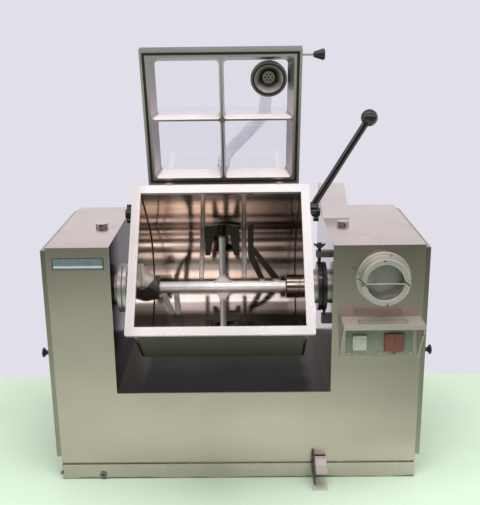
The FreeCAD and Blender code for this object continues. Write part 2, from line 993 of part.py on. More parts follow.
def make_switches():
    plate_x = (hood_left + hood_right - cell.switch_plate_width) / 2
    low = switch_plate_low
    plate = block(plate_x, plate_x + cell.switch_plate_width, front - cell.switch_wall, front,
                  low, low + cell.switch_plate_height)
    openings = []
    bodies = []
    for name, x, width, z, high in (
        ("start_button", start_x, cell.start_width, start_low, cell.start_height),
        ("stop_button", stop_x, cell.stop_width, stop_low, cell.stop_height),
    ):
        rim = cell.free_gap
        openings.append(block(x - width / 2 - rim, x + width / 2 + rim, front - wall * 2, front + wall,
                              z - rim, z + high + rim))
        frame = cell.switch_frame
        rear = front + wall
        half = width / 2
        box = block(x - half - frame, x + half + frame, rear, rear + cell.switch_body_depth,
                    z - frame, z + high + frame)
        gap = cell.button_gap
        well = block(x - half - gap, x + half + gap, rear - 1, rear + cell.switch_well_depth,
                     z - gap, z + high + gap)
        bodies.append(cut(box, well))
        body = new_body(name)
        flat = sketch(body, "XZ_Plane", -rear - cell.button_seat)
        rectangle(flat, x - half, x + half, z, z + high)
        face = pad(body, flat, wall + cell.button_seat + cell.button_proud)
        corners = along(Y_AXIS, [(x - half, z), (x + half, z), (x - half, z + high), (x + half, z + high)])
        face = rounded(body, face, cell.button_corner, corners)
        if name == "stop_button":
            tab = sketch(body, "XZ_Plane", -front + cell.button_proud - cell.tab_thickness)
            top_half, tip_half, tip = cell.tab_top_half, cell.tab_tip_half, z - cell.tab_reach
            outline(tab, [(x - top_half, z), (x - tip_half, tip), (x + tip_half, tip), (x + top_half, z)])
            pad(body, tab, cell.tab_thickness)
            crease = sketch(body, "XZ_Plane", -front + cell.button_proud)
            rectangle(crease, x - cell.crease_half, x + cell.crease_half,
                      z + cell.crease_low, z + high - cell.crease_high)
            pocket(body, crease, cell.crease_depth)
        else:
            ribs = sketch(body, "XZ_Plane", -front + cell.button_proud)
            rib_low, rib_high = z + cell.rib_low, z + high - cell.rib_high
            rectangle(ribs, x - cell.thin_rib_from, x - cell.thin_rib_to, rib_low, rib_high)
            rectangle(ribs, x + cell.wide_rib_from, x + cell.wide_rib_to, rib_low, rib_high)
            pad(body, ribs, cell.rib_height)
    node("switch_plate", cut(plate, *openings))
    node("switch_bodies", group(*bodies))


def make_panel_screws():
    """Cap screws of the filter flange, the switch plate and the back panel."""
    heads = []
    head = cell.screw_head
    ring = (cell.filter_flange_radius + cell.filter_drum_radius) / 2
    for angle in (75, 165, 255, 345):
        x = filter_x + ring * cosine(angle)
        z = filter_z + ring * sine(angle)
        heads.append(rod("y", front - cell.filter_flange - head, x, z, head, cell.screw_radius))
    low = switch_plate_low + cell.plate_screw_rise
    reach = cell.switch_plate_width / 2 - cell.plate_screw_inset
    middle = (hood_left + hood_right) / 2
    for x in (middle - reach, middle, middle + reach):
        heads.append(rod("y", front - cell.switch_wall - head, x, low, head, cell.screw_radius))
    inset = cell.back_screw_inset
    for x in (left_side + inset, right_side - inset, gap_left - inset, gap_right + inset):
        for z in (shell_low + cell.back_screw_rise, cell.column_top - cell.back_screw_rise):
            heads.append(rod("y", back, x, z, head, cell.back_screw_radius))
    node("panel_screws", group(*heads))


# Trunnions, bearings and index plunger

def make_bearings():
    plates = []
    for name, side in SIDES:
        inside = centre + (half_gap + wall) * side
        outside = centre + upright_out * side
        low, high = (inside, outside) if side > 0 else (outside, inside)
        width = cell.upright_width / 2
        plate = block(low, high, axis_y - width, axis_y + width, cell.pan_floor, axis_z + cell.upright_rise)
        through = cell.upright_thickness + 2
        drills = [rod("x", low - 1, axis_y, axis_z, through, cell.spigot_radius + cell.free_gap)]
        if side < 0:
            shaft_hole = cell.motor_shaft_radius + cell.motor_shaft_gap
            drills.append(rod("x", low - 1, motor_y, cell.motor_height, through, shaft_hole))
        plates.append(cut(plate, *drills))
        flange = new_body(f"{name}_bearing_flange")
        flat = sketch(flange, "XZ_Plane")
        bore = cell.journal_radius + cell.running_gap
        face = flange_disc_in
        disc = flange_disc_in + cell.disc_thickness
        outline(flat, [
            (face, bore), (face, cell.disc_radius - cell.disc_chamfer),
            (face + cell.disc_chamfer, cell.disc_radius),
            (disc, cell.disc_radius), (disc, cell.boss_radius), (half_gap, cell.boss_radius),
            (half_gap, cell.spigot_radius), (upright_out, cell.spigot_radius), (upright_out, bore),
        ])
        turned(flange, flat)
        place(flange, centre, axis_y, axis_z, turn=0 if side > 0 else 180, axis=Z_AXIS)
    node("bearing_uprights", group(*plates))


INDEX_TILTS = (-cell.tilt, as_size(0), cell.tilt_forward)


def make_trunnions():
    for name, side in SIDES:
        body = new_body(f"{name}_trunnion")
        flat = sketch(body, "XZ_Plane")
        bore = cell.shaft_radius + cell.running_gap
        outline(flat, [
            (end_out, bore), (end_out, cell.boss_radius), (bowl_disc_in, cell.boss_radius),
            (bowl_disc_in, cell.disc_radius), (bowl_disc_out - cell.disc_chamfer, cell.disc_radius),
            (bowl_disc_out, cell.disc_radius - cell.disc_chamfer), (bowl_disc_out, cell.journal_radius),
            (journal_end, cell.journal_radius), (journal_end, bore),
        ])
        turned(body, flat)
        if side > 0:
            # index notches: one under the plunger at each of three tilts
            middle = (bowl_disc_in + bowl_disc_out) / 2
            seats = sketch(body, "YZ_Plane", middle)
            slots = sketch(body, "YZ_Plane", middle)
            seat = cell.disc_radius - cell.plunger_travel - cell.notch_seat + cell.plunger_radius
            half = cell.plunger_radius + cell.notch_clear
            for tilt in INDEX_TILTS:
                # the notch that comes to the top when the bowl is turned by this much
                turn = 90 - cell.tilt - tilt
                circle(seats, seat * cosine(turn), seat * sine(turn), half)
                out = cell.disc_radius + cell.notch_overrun
                ray = (cosine(turn), sine(turn))
                outline(slots, [
                    (seat * ray[0] - half * ray[1], seat * ray[1] + half * ray[0]),
                    (seat * ray[0] + half * ray[1], seat * ray[1] - half * ray[0]),
                    (out * ray[0] + half * ray[1], out * ray[1] - half * ray[0]),
                    (out * ray[0] - half * ray[1], out * ray[1] + half * ray[0]),
                ])
            through = cell.disc_thickness + cell.notch_overrun
            pocket(body, seats, through, both=True)
            pocket(body, slots, through, both=True)
            place(body, centre, axis_y, axis_z, turn=cell.tilt)
        else:
            place(body, centre, axis_y, axis_z, turn=180, axis=Z_AXIS)


def make_plunger():
    x = centre + (bowl_disc_in + bowl_disc_out) / 2
    z = axis_z + cell.disc_radius + cell.plunger_parked
    low = axis_z + cell.disc_radius + cell.guide_clear
    high = low + cell.guide_height
    deep = cell.guide_depth / 2
    guide = block(x - cell.guide_half, gap_right, axis_y - deep, axis_y + deep, low, high)
    bore = rod("z", low - 1, x, axis_y, cell.guide_height + 2, cell.plunger_radius + cell.running_gap)
    node("plunger_guide", cut(guide, bore))

    body = new_body("index_plunger")
    pin = circle(sketch(body, "XY_Plane"), 0, 0, cell.plunger_radius)
    base = high - z + cell.plunger_travel + cell.wing_clear
    pad(body, pin, base + cell.wing_rise)
    wing = sketch(body, "XZ_Plane")
    half = cell.wing_width / 2
    right_half = [
        (cell.wing_foot_half, base), (cell.wing_waist, base + cell.wing_rise), (half, base + cell.wing_low),
        (half, base + cell.wing_high), (cell.wing_notch_half, base + cell.wing_notch),
        (cell.wing_crown_half, base + cell.wing_crown),
    ]
    outline(wing, mirrored(right_half))
    pad(body, wing, cell.wing_thickness, both=True)
    place(body, x, axis_y, z)


def make_limit_switch():
    roller_z = axis_z - cell.disc_radius - cell.limit_drop - cell.limit_roller_radius
    case_top = roller_z - cell.limit_stem
    deep = cell.limit_case_depth / 2
    stem_x = gap_right - cell.limit_stem_inset
    case = block(gap_right - cell.limit_case_width, gap_right, axis_y - deep, axis_y + deep,
                 case_top - cell.limit_case_height, case_top)
    stem = rod("z", case_top, stem_x, axis_y, cell.limit_stem, cell.limit_stem_radius)
    roller = rod("x", stem_x - cell.limit_roller_width / 2, axis_y, roller_z,
                 cell.limit_roller_width, cell.limit_roller_radius)
    node("limit_switch", fuse(case, stem, roller))


# Bowl

def bowl_place(item, along_u, above, turn=0, across=0):
    """Put a piece at a point of the bowl's own frame, turned with the bowl."""
    along_u, above = as_size(along_u), as_size(above)
    y = axis_y + along_u * cosine(cell.tilt) - above * sine(cell.tilt)
    z = axis_z + along_u * sine(cell.tilt) + above * cosine(cell.tilt)
    return place(item, centre + across, y, z, turn=cell.tilt + turn)


def make_bowl():
    trough = new_body("bowl_trough")
    outside = trough_outline(sketch(trough, "YZ_Plane"), bowl_outer, rim_under)
    pad(trough, outside, bowl_half * 2, both=True)
    inside = trough_outline(sketch(trough, "YZ_Plane"), cell.bowl_radius, rim_under + 1)
    pocket(trough, inside, bowl_half * 4, both=True)
    bowl_place(trough, 0, 0)

    for name, side in SIDES:
        body = new_body(f"{name}_bowl_end")
        start = bowl_half if side > 0 else -end_out
        pad(body, trough_outline(sketch(body, "YZ_Plane", start), bowl_outer, rim_under), cell.bowl_end)
        hole = circle(sketch(body, "YZ_Plane", start), 0, 0, cell.shaft_radius + cell.running_gap + 2)
        pocket(body, hole, cell.bowl_end * 3, both=True)
        bowl_place(body, 0, 0)

    rim = new_body("bowl_rim")
    flat = sketch(rim, "XY_Plane", rim_under)
    reach_x = bowl_half + cell.rim_flange
    reach_y = cell.bowl_radius + cell.rim_flange
    rectangle(flat, -reach_x, reach_x, -reach_y, reach_y)
    rectangle(flat, -bowl_half, bowl_half, -cell.bowl_radius, cell.bowl_radius)
    ring = pad(rim, flat, cell.rim_thickness)
    corners = along(Z_AXIS, [(a, b) for a in (-reach_x, reach_x) for b in (-reach_y, reach_y)])
    rounded(rim, ring, cell.rim_corner, corners)
    bowl_place(rim, 0, 0)

    pins = []
    for side in (-1, 1):
        length = cell.bowl_radius - cell.free_gap - cell.baffle_reach
        pins.append(rod("z", cell.baffle_reach, cell.baffle_offset * side, 0, length, cell.baffle_radius))
    bowl_place(node("baffle_pins", group(*pins)), 0, 0, turn=-90 - cell.baffle_turn)


def make_hinge():
    """Lugs on the bowl's back, the hinge shaft through them, and a star knob at each end."""
    lugs = []
    reach = cell.hinge_along - bowl_outer
    for side in (-1, 1):
        start = (arm_offset + cell.lid_arm_width / 2 + cell.lug_clear) * side
        x0 = start if side > 0 else start - cell.lug_thickness
        plate = block(x0, x0 + cell.lug_thickness, -reach, 0, -cell.lug_half, cell.lug_half)
        nose = rod("x", x0, 0, 0, cell.lug_thickness, cell.lug_nose)
        hole = rod("x", x0 - 1, 0, 0, cell.lug_thickness + 2, cell.hinge_radius + cell.running_gap)
        lugs.append(cut(fuse(plate, nose), hole))
    bowl_place(node("hinge_lugs", group(*lugs)), cell.hinge_along, cell.hinge_above)
    shaft = rod("x", -hinge_half, 0, 0, hinge_half * 2, cell.hinge_radius)
    bowl_place(node("hinge_shaft", group(shaft)), cell.hinge_along, cell.hinge_above)
    for name, side in SIDES:
        body = new_body(f"{name}_star_knob")
        flat = sketch(body, "YZ_Plane", 0)
        circle(flat, 0, 0, cell.star_radius)
        disc = pad(body, flat, cell.star_thickness, both=True)
        hub = circle(sketch(body, "YZ_Plane"), 0, 0, cell.star_hub_radius)
        pad(body, hub, cell.star_thickness + cell.star_hub_proud, both=True)
        bite = sketch(body, "YZ_Plane")
        circle(bite, cell.star_bite_place, 0, cell.star_bite_radius)
        scoop = pocket(body, bite, cell.star_thickness * 2, both=True)
        pattern = body.newObject("PartDesign::PolarPattern", "lobes")
        pattern.Originals = [scoop]
        pattern.Axis = (bite, ["N_Axis"])
        pattern.Angle = 360
        pattern.Occurrences = 5
        body.Tip = pattern
        seat = cell.star_seat
        for depth, outward in ((seat + cell.free_gap, True), (cell.star_thickness, False)):
            bore = circle(sketch(body, "YZ_Plane"), 0, 0, cell.hinge_radius + cell.running_gap)
            pocket(body, bore, depth, back=outward == (side > 0))
        bowl_place(body, cell.hinge_along, cell.hinge_above, across=(hinge_half - seat) * side)


def make_lever():
    reach = half_gap - cell.lever_wall_gap - end_out
    start = -cell.lever_set_back
    boss = rod("x", -reach, 0, 0, reach, cell.lever_boss_radius)
    joint = ball(start, 0, 0, cell.lever_radius)
    bar = doc.addObject("Part::Cylinder", "bar")
    bind(bar, "Radius", cell.lever_radius)
    bind(bar, "Height", cell.lever_length + cell.lever_socket)
    place(bar, start, 0, 0, turn=cell.lever_lean, axis=Y_AXIS)
    lever = node("tilt_lever", fuse(boss, joint, bar))
    across = end_out + reach
    bowl_place(lever, cell.lever_along, cell.lever_above, turn=-cell.lever_swing, across=across)

    middle = cell.lever_length + cell.ball_radius - cell.ball_sink
    knob = ball(start + middle * sine(cell.lever_lean), 0, middle * cosine(cell.lever_lean), cell.ball_radius)
    socket = doc.addObject("Part::Cylinder", "socket")
    bind(socket, "Radius", cell.lever_radius + cell.running_gap)
    bind(socket, "Height", cell.lever_length + cell.lever_socket + cell.running_gap)
    place(socket, start, 0, 0, turn=cell.lever_lean, axis=Y_AXIS)
    knob = node("lever_knob", cut(knob, socket))
    bowl_place(knob, cell.lever_along, cell.lever_above, turn=-cell.lever_swing, across=across)


# Mixing tool

def mirrored(points):
    """The points of a half outline, then the same ones mirrored, closing the shape."""
    return points + [(-as_size(u), v) for u, v in reversed(points)]


hub_start = bowl_half - cell.free_gap - cell.hub_length


def make_mixing_arm():
    body = new_body("mixing_arm")
    core = sketch(body, "XZ_Plane")
    half = cell.arm_width / 2
    bar = cell.shaft_radius - cell.arm_sink
    under = cell.fork_radius - cell.fork_bar
    tip = cell.prong_tip_radius
    wide = half + cell.arm_fillet + cell.arm_shoulder
    upper = [
        (wide, bar), (half, bar), (half, under), (cell.prong_root, under), (cell.prong_tip, tip),
        (cell.fork_half, tip), (cell.fork_half, cell.fork_radius - cell.fork_slope),
        (cell.fork_crown, cell.fork_radius),
    ]
    top = [(-as_size(u), v) for u, v in reversed(upper)]
    bottom = [(-as_size(u), -as_size(v)) for u, v in upper]
    low = [(u, -as_size(v)) for u, v in reversed(upper)]
    outline(core, upper + top + bottom + low)
    cross = pad(body, core, cell.arm_thickness, both=True)
    spots = [(half * a, bar * b) for a in (-1, 1) for b in (-1, 1)]
    rounded(body, cross, cell.arm_fillet, along(Y_AXIS, spots))
    shaft = circle(sketch(body, "YZ_Plane"), 0, 0, cell.shaft_radius)
    pad(body, shaft, hub_start * 2, both=True)

    paddle(body, 1, cell.right_blade, cell.right_inner_leg, cell.right_outer_leg)
    paddle(body, -1, cell.left_blade, cell.left_inner_leg, cell.left_outer_leg)
    place(body, centre, axis_y, axis_z)


def paddle(body, side, middle, inner, outer):
    """A blade on two slanted legs, above the shaft on the right and below it on the left."""
    near, far = middle - cell.blade_width / 2, middle + cell.blade_width / 2
    low, neck = cell.blade_low, cell.blade_low + cell.blade_neck
    high, bevel = cell.fork_radius, cell.blade_bevel
    leg = cell.leg_radius
    foot = cell.shaft_radius - cell.leg_sink
    rows = [
        (inner - leg, foot), (near + bevel, low), (near, neck), (near, high - cell.blade_chamfer),
        (near + bevel, high), (far, high), (far, low + cell.blade_shoulder),
        (outer + leg, foot + cell.leg_foot), (outer + leg, foot), (outer - leg, foot),
        (far + bevel, neck), (far + bevel, low + bevel), (inner + leg, foot),
    ]
    flat = sketch(body, "XZ_Plane")
    # places along the shaft are for a tool of the size in the sheet, so they stretch with the bowl
    stretch = hub_start / cell.tool_half * side
    outline(flat, [(as_size(u) * stretch, as_size(v) * side) for u, v in rows])
    pad(body, flat, cell.leg_thickness, both=True)


def make_hubs():
    for name, side in SIDES:
        body = new_body(f"{name}_hub")
        flat = sketch(body, "XZ_Plane")
        end = pulley_out + cell.pulley_width / 2 if side < 0 else journal_end + cell.right_stub
        face = hub_start + cell.hub_length
        outline(flat, [
            (hub_start, 0), (hub_start, cell.hub_radius - cell.hub_chamfer),
            (hub_start + cell.hub_chamfer, cell.hub_radius),
            (face, cell.hub_radius), (face, cell.shaft_radius), (end, cell.shaft_radius), (end, 0),
        ])
        turned(body, flat)
        if side < 0:
            # share that sweeps the left end wall, slanting from a wide foot to the hub
            base = face - cell.share_plate
            reach, near = cell.share_reach, cell.hub_radius
            top, bottom = cell.share_top, cell.share_low
            half, low = near / 2, near * 0.8
            wide = [(reach, top), (reach, bottom), (low, -near), (-near, -near), (-near, near)]
            slim = [(near, half), (near, 0), (half, -low), (-half, -low), (-half, low)]
            pad(body, outline(sketch(body, "YZ_Plane", base), wide), cell.share_plate)
            loft = body.newObject("PartDesign::AdditiveLoft", "share")
            loft.Profile = outline(sketch(body, "YZ_Plane", base), wide)
            loft.Sections = [outline(sketch(body, "YZ_Plane", hub_start), slim)]
            loft.Ruled = True
            doc.recompute()
        place(body, centre, axis_y, axis_z, turn=0 if side > 0 else 180, axis=Z_AXIS)


# Drive

def make_pulley(name, radius, bore, y, z):
    body = new_body(name)
    flat = sketch(body, "XZ_Plane")
    half = cell.pulley_width / 2
    rim = cell.pulley_rim
    outline(flat, [
        (-half, bore), (half, bore), (half, radius + rim), (half - rim, radius + rim),
        (half - rim, radius), (-half + rim, radius), (-half + rim, radius + rim), (-half, radius + rim),
    ])
    turned(body, flat)
    place(body, pulley_mid, y, z)


def make_drive():
    motor_z = cell.motor_height
    gap = cell.running_gap
    make_pulley("shaft_pulley", cell.pulley_radius, cell.shaft_radius + gap, axis_y, axis_z)
    make_pulley("motor_pulley", cell.motor_pulley_radius, cell.motor_shaft_radius + gap, motor_y, motor_z)
    r = cell.motor_radius
    gearbox_x = gap_left + wall + cell.gearbox_gap
    side = r + cell.gearbox_margin
    can_x = gearbox_x + cell.gearbox_length
    box = block(gearbox_x, can_x, motor_y - side, motor_y + side,
                cell.pan_floor, motor_z + r + cell.gearbox_above)
    can = rod("x", can_x, motor_y, motor_z, cell.motor_length, r)
    fins = [
        rod("x", can_x + cell.motor_fin_start + cell.motor_fin_pitch * step, motor_y, motor_z,
            cell.motor_fin, r + cell.motor_fin_reach)
        for step in range(SIZES["motor_fins"])
    ]
    shaft_start = pulley_mid - cell.pulley_width / 2
    shaft = rod("x", shaft_start, motor_y, motor_z, gearbox_x - shaft_start, cell.motor_shaft_radius)
    node("gearmotor", fuse(box, can, *fins, shaft))
    make_belt(motor_z)


def make_belt(motor_z):
    """A flat belt round both pulleys, as two half rings and two straight runs."""
    rise = axis_z - motor_z
    lean = Size(math.degrees(math.atan2((motor_y - axis_y).value, rise.value)),
                f"atan(({motor_y.formula} - {axis_y.formula}) / {rise.formula})")
    span = rise / cosine(lean)
    big = cell.pulley_radius + cell.running_gap * 6
    small = cell.motor_pulley_radius + cell.running_gap * 6
    slope = Size(math.degrees(math.asin((big.value - small.value) / span.value)),
                 f"asin(({big.formula} - {small.formula}) / {span.formula})")
    width = cell.pulley_width - cell.pulley_rim * 2 - 2
    body = new_body("drive_belt")

    def wrapped(flat, extra):
        """The outline of both wheels and the tangents between them, grown by extra."""
        top, low = big + extra, small + extra
        side, rise_part = cosine(slope), sine(slope)
        outline(flat, [
            (-top * side, -top * rise_part * -1), (top * side, -top * rise_part * -1),
            (low * side, -span + low * rise_part), (-low * side, -span + low * rise_part),
        ])
        return flat

    outer = sketch(body, "YZ_Plane")
    wrapped(outer, cell.belt_thickness)
    pad(body, outer, width, both=True)
    for spot, radius in ((0, big), (-span, small)):
        ring = circle(sketch(body, "YZ_Plane"), 0, spot, radius + cell.belt_thickness)
        pad(body, ring, width, both=True)
    pocket(body, wrapped(sketch(body, "YZ_Plane"), as_size(0)), width * 2, both=True)
    for spot, radius in ((0, big), (-span, small)):
        ring = circle(sketch(body, "YZ_Plane"), 0, spot, radius)
        pocket(body, ring, width * 2, both=True)
    place(body, pulley_mid, axis_y, axis_z, turn=lean)


def make_pump():
    x = filter_x - cell.port_offset
    y = front + cell.pump_from_front
    low = cell.pan_floor
    near, far = y - cell.pump_front, y - cell.pump_front + cell.pump_length
    shoulder = cell.pump_top - cell.pump_inlet
    case = block(x - cell.pump_left, x + cell.pump_right, near, far, low, shoulder)
    inlet = rod("z", shoulder, x, y, cell.pump_inlet, cell.pump_inlet_radius)
    motor = rod("y", far, x, low + cell.pump_motor_height, cell.pump_motor_length, cell.pump_motor_radius)
    box_x = x + cell.pump_right
    box_near = near + cell.pump_box_from
    box = block(box_x, box_x + cell.pump_box_width, box_near, box_near + cell.pump_box_length,
                low + cell.pump_box_low, low + cell.pump_box_high)
    half = cell.pump_foot_half
    foot = block(x - half, x + half, far, far + cell.pump_foot_length, low, low + cell.pump_foot_height)
    node("vacuum_pump", fuse(case, inlet, motor, box, foot))


# Lid

lid_turn = cell.tilt - cell.lid_open
hinge_y = axis_y + cell.hinge_along * cosine(cell.tilt) - cell.hinge_above * sine(cell.tilt)
hinge_z = axis_z + cell.hinge_along * sine(cell.tilt) + cell.hinge_above * cosine(cell.tilt)
lid_low = cell.rim_height - cell.hinge_above + cell.lid_gap
lid_high = lid_low + cell.lid_depth
lid_middle = -cell.hinge_along
lid_near = lid_middle - cell.lid_length / 2
lid_far = lid_middle + cell.lid_length / 2
lid_half = bowl_half + cell.lid_overlap
port_across = lid_half - cell.lid_bar_width - cell.port_side_gap - cell.port_ring_radius
port_along = lid_near + cell.lid_bar_width + cell.port_end_gap + cell.port_ring_radius


def lid_place(item, across=0, along_y=0, up=0, turn=0, axis=X_AXIS):
    """Put a piece in the lid's frame: origin on the hinge, as if closed, then swung open."""
    y = hinge_y + as_size(along_y) * cosine(lid_turn) - as_size(up) * sine(lid_turn)
    z = hinge_z + as_size(along_y) * sine(lid_turn) + as_size(up) * cosine(lid_turn)
    return place(item, centre + across, y, z, turn=lid_turn + turn, axis=axis)


def make_lid_frame():
    body = new_body("lid_frame")
    plan = rectangle(sketch(body, "XY_Plane", lid_low), -lid_half, lid_half, lid_near, lid_far)
    pad(body, plan, cell.lid_depth)
    face, deep = cell.lid_face_width, cell.lid_bar_width
    for side in (-1, 1):
        for end in (-1, 1):
            loops = []
            for level, ring, rib in ((lid_low, face, cell.rib_narrow), (lid_high, deep, cell.rib_wide)):
                flat = sketch(body, "XY_Plane", level)
                inner_x, outer_x = rib / 2, lid_half - ring
                inner_y, outer_y = rib / 2, cell.lid_length / 2 - ring
                rectangle(flat, inner_x * side, outer_x * side,
                          lid_middle + inner_y * end, lid_middle + outer_y * end)
                loops.append(flat)
            window = body.newObject("PartDesign::SubtractiveLoft", "window")
            window.Profile = loops[0]
            window.Sections = [loops[1]]
            window.Ruled = True
            doc.recompute()
    slanted = rounded(body, window, cell.window_fillet, is_slanted)
    groove = sketch(body, "XY_Plane", lid_low)
    for inset in (cell.seal_inset, cell.seal_inset + cell.seal_width):
        rectangle(groove, -lid_half + inset, lid_half - inset, lid_near + inset, lid_far - inset)
    pocket(body, groove, cell.seal_depth, back=True)
    for side in (-1, 1):
        arm = sketch(body, "YZ_Plane", arm_offset * side)
        wide = cell.lid_arm_depth / 2
        shift = cell.lid_arm_shift
        bend = cell.rim_height - cell.rim_thickness - cell.hinge_above - cell.lid_arm_bend
        lap = -wide - cell.lid_arm_lap
        heel = cell.lid_arm_heel
        outline(arm, [
            (-wide, 0), (-wide, bend), (-wide + shift, bend + cell.lid_arm_bend / 2),
            (-wide + shift, lid_low + heel / 2), (lap, lid_low + heel), (lap, lid_high - heel / 2),
            (wide + shift, lid_high - heel), (wide + shift, bend), (wide, 0),
        ])
        pad(body, arm, cell.lid_arm_width, both=True)
        eye = circle(sketch(body, "YZ_Plane", arm_offset * side), 0, 0, wide)
        pad(body, eye, cell.lid_arm_width, both=True)
    bore = circle(sketch(body, "YZ_Plane"), 0, 0, cell.hinge_radius + cell.running_gap)
    pocket(body, bore, lid_half * 4, both=True)
    lid_place(body)


def is_slanted(edge):
    """The four corner edges of each lid window, which lean with its sloping walls."""
    start, end = edge.Vertexes[0].Point, edge.Vertexes[-1].Point
    rise = abs(end.z - start.z)
    return rise > 1 and (end - start).Length > rise + 0.1


def make_lid_fittings():
    inset, wide = cell.seal_inset, cell.seal_width
    low = lid_low - cell.seal_proud
    high = lid_low + cell.seal_depth
    outer = block(-lid_half + inset, lid_half - inset, lid_near + inset, lid_far - inset, low, high)
    inner = block(-lid_half + inset + wide, lid_half - inset - wide, lid_near + inset + wide,
                  lid_far - inset - wide, low - 1, high + 1)
    middle = cell.port_ring_radius - (cell.port_groove_in + cell.port_groove_out) / 2
    ring_z = lid_high - cell.port_ring_depth
    half = cell.o_ring_radius
    rings = [
        rod("z", ring_z - half, port_across, port_along, half * 2, middle + side * half)
        for side in (1, -1)
    ]
    lid_place(node("lid_seals", group(cut(outer, inner), cut(*rings))))

    inset = cell.panel_inset
    sheet_plate = block(-lid_half + inset, lid_half - inset, lid_near + inset, lid_far - inset,
                        lid_high, lid_high + cell.panel_thickness)
    hole = rod("z", lid_high - 1, port_across, port_along, cell.panel_thickness + 2,
               cell.port_ring_radius - cell.port_flange + cell.free_gap)
    lid_place(node("lid_panel", cut(sheet_plate, hole)))

    port = new_body("vacuum_port")
    flat = sketch(port, "XZ_Plane")
    r, deep = cell.port_ring_radius, cell.port_ring_depth
    neck, bore = cell.port_neck_radius, cell.port_neck_radius - cell.port_neck_wall
    top = cell.port_neck_height
    groove_in, groove_out = r - cell.port_groove_in, r - cell.port_groove_out
    groove = -deep + cell.port_groove_depth
    flange, collar = r - cell.port_flange, neck + cell.port_collar
    floor = cell.port_cup_floor + cell.port_floor
    boss, shoulder = cell.panel_thickness + 1, cell.port_shoulder
    outline(flat, [
        (0, cell.port_cup_floor), (neck, cell.port_cup_floor), (r - cell.port_inner_lip, -deep),
        (groove_in, -deep), (groove_in, groove), (groove_out, groove), (groove_out, -deep), (r - 1, -deep),
        (r, -deep + 1), (r, 0), (flange, 0), (flange, boss), (collar, boss), (collar, shoulder),
        (neck, shoulder + 2), (neck, top), (bore, top), (bore, floor), (0, floor),
    ])
    turned(port, flat, "V_Axis")
    holes = sketch(port, "XY_Plane", cell.port_cup_floor)
    circle(holes, 0, 0, cell.port_hole)
    ring = neck - cell.port_hole_inset
    for step in range(6):
        circle(holes, ring * cosine(60 * step), ring * sine(60 * step), cell.port_hole)
    pocket(port, holes, floor * 2, both=True)
    lid_place(port, port_across, port_along, lid_high)

    start = lid_high + cell.port_neck_height
    level = start + cell.pipe_rise
    spots = [
        (port_across, port_along, start),
        (port_across, port_along, level),
        (port_across - cell.pipe_run_across, port_along + cell.pipe_run_down, level),
        (as_size(0), -cell.pipe_end_along, level),
        (as_size(0), -cell.pipe_end_along, lid_high + cell.panel_thickness),
    ]
    node("suction_tube", bent_tube(spots, cell.pipe_bend, cell.pipe_radius, cell.pipe_wall))
    lid_place(nodes["suction_tube"])

    z = (lid_low + lid_high) / 2
    y = lid_near + cell.handle_from_edge
    grip = rod("x", lid_half, y, z, cell.handle_reach + cell.handle_socket, cell.handle_radius)
    lid_place(node("lid_handle", group(grip)))
    knob = new_body("lid_handle_knob")
    flat = sketch(knob, "XZ_Plane")
    end = cell.handle_knob_length
    outline(flat, [
        (0, cell.handle_radius), (0, cell.handle_knob_foot), (2, cell.handle_knob_base),
        (end - cell.handle_knob_flare, cell.handle_knob_shoulder),
        (end - cell.handle_knob_round, cell.handle_knob_radius), (end, cell.handle_knob_face),
        (end, 0), (cell.handle_socket, 0), (cell.handle_socket, cell.handle_radius),
    ])
    turned(knob, flat)
    lid_place(knob, lid_half + cell.handle_reach, y, z)


def bent_tube(spots, bend, radius, thickness):
    """A hollow tube through given points, with an arc of one radius at each inner point."""
    points = [FreeCAD.Vector(*[as_size(value).value for value in spot]) for spot in spots]
    edges = []
    start = points[0]
    for before, at, after in zip(points, points[1:], points[2:]):
        into = (at - before).normalize()
        out = (after - at).normalize()
        half_turn = into.getAngle(out) / 2
        back_off = bend.value * math.tan(half_turn)
        first, last = at - into * back_off, at + out * back_off
        inward = (out - into).normalize()
        middle = at + inward * (bend.value / math.cos(half_turn) - bend.value)
        edges.append(Part.LineSegment(start, first).toShape())
        edges.append(Part.Arc(first, middle, last).toShape())
        start = last
    edges.append(Part.LineSegment(start, points[-1]).toShape())
    path = Part.Wire(edges)
    solids = []
    for size in (radius.value, radius.value - thickness.value):
        section = Part.Wire([Part.makeCircle(size, points[0], points[1] - points[0])])
        solids.append(path.makePipe(Part.Face(section)))
    item = doc.addObject("Part::Feature", "tube")
    item.Shape = solids[0].cut(solids[1])
    return item


# Foot pedal

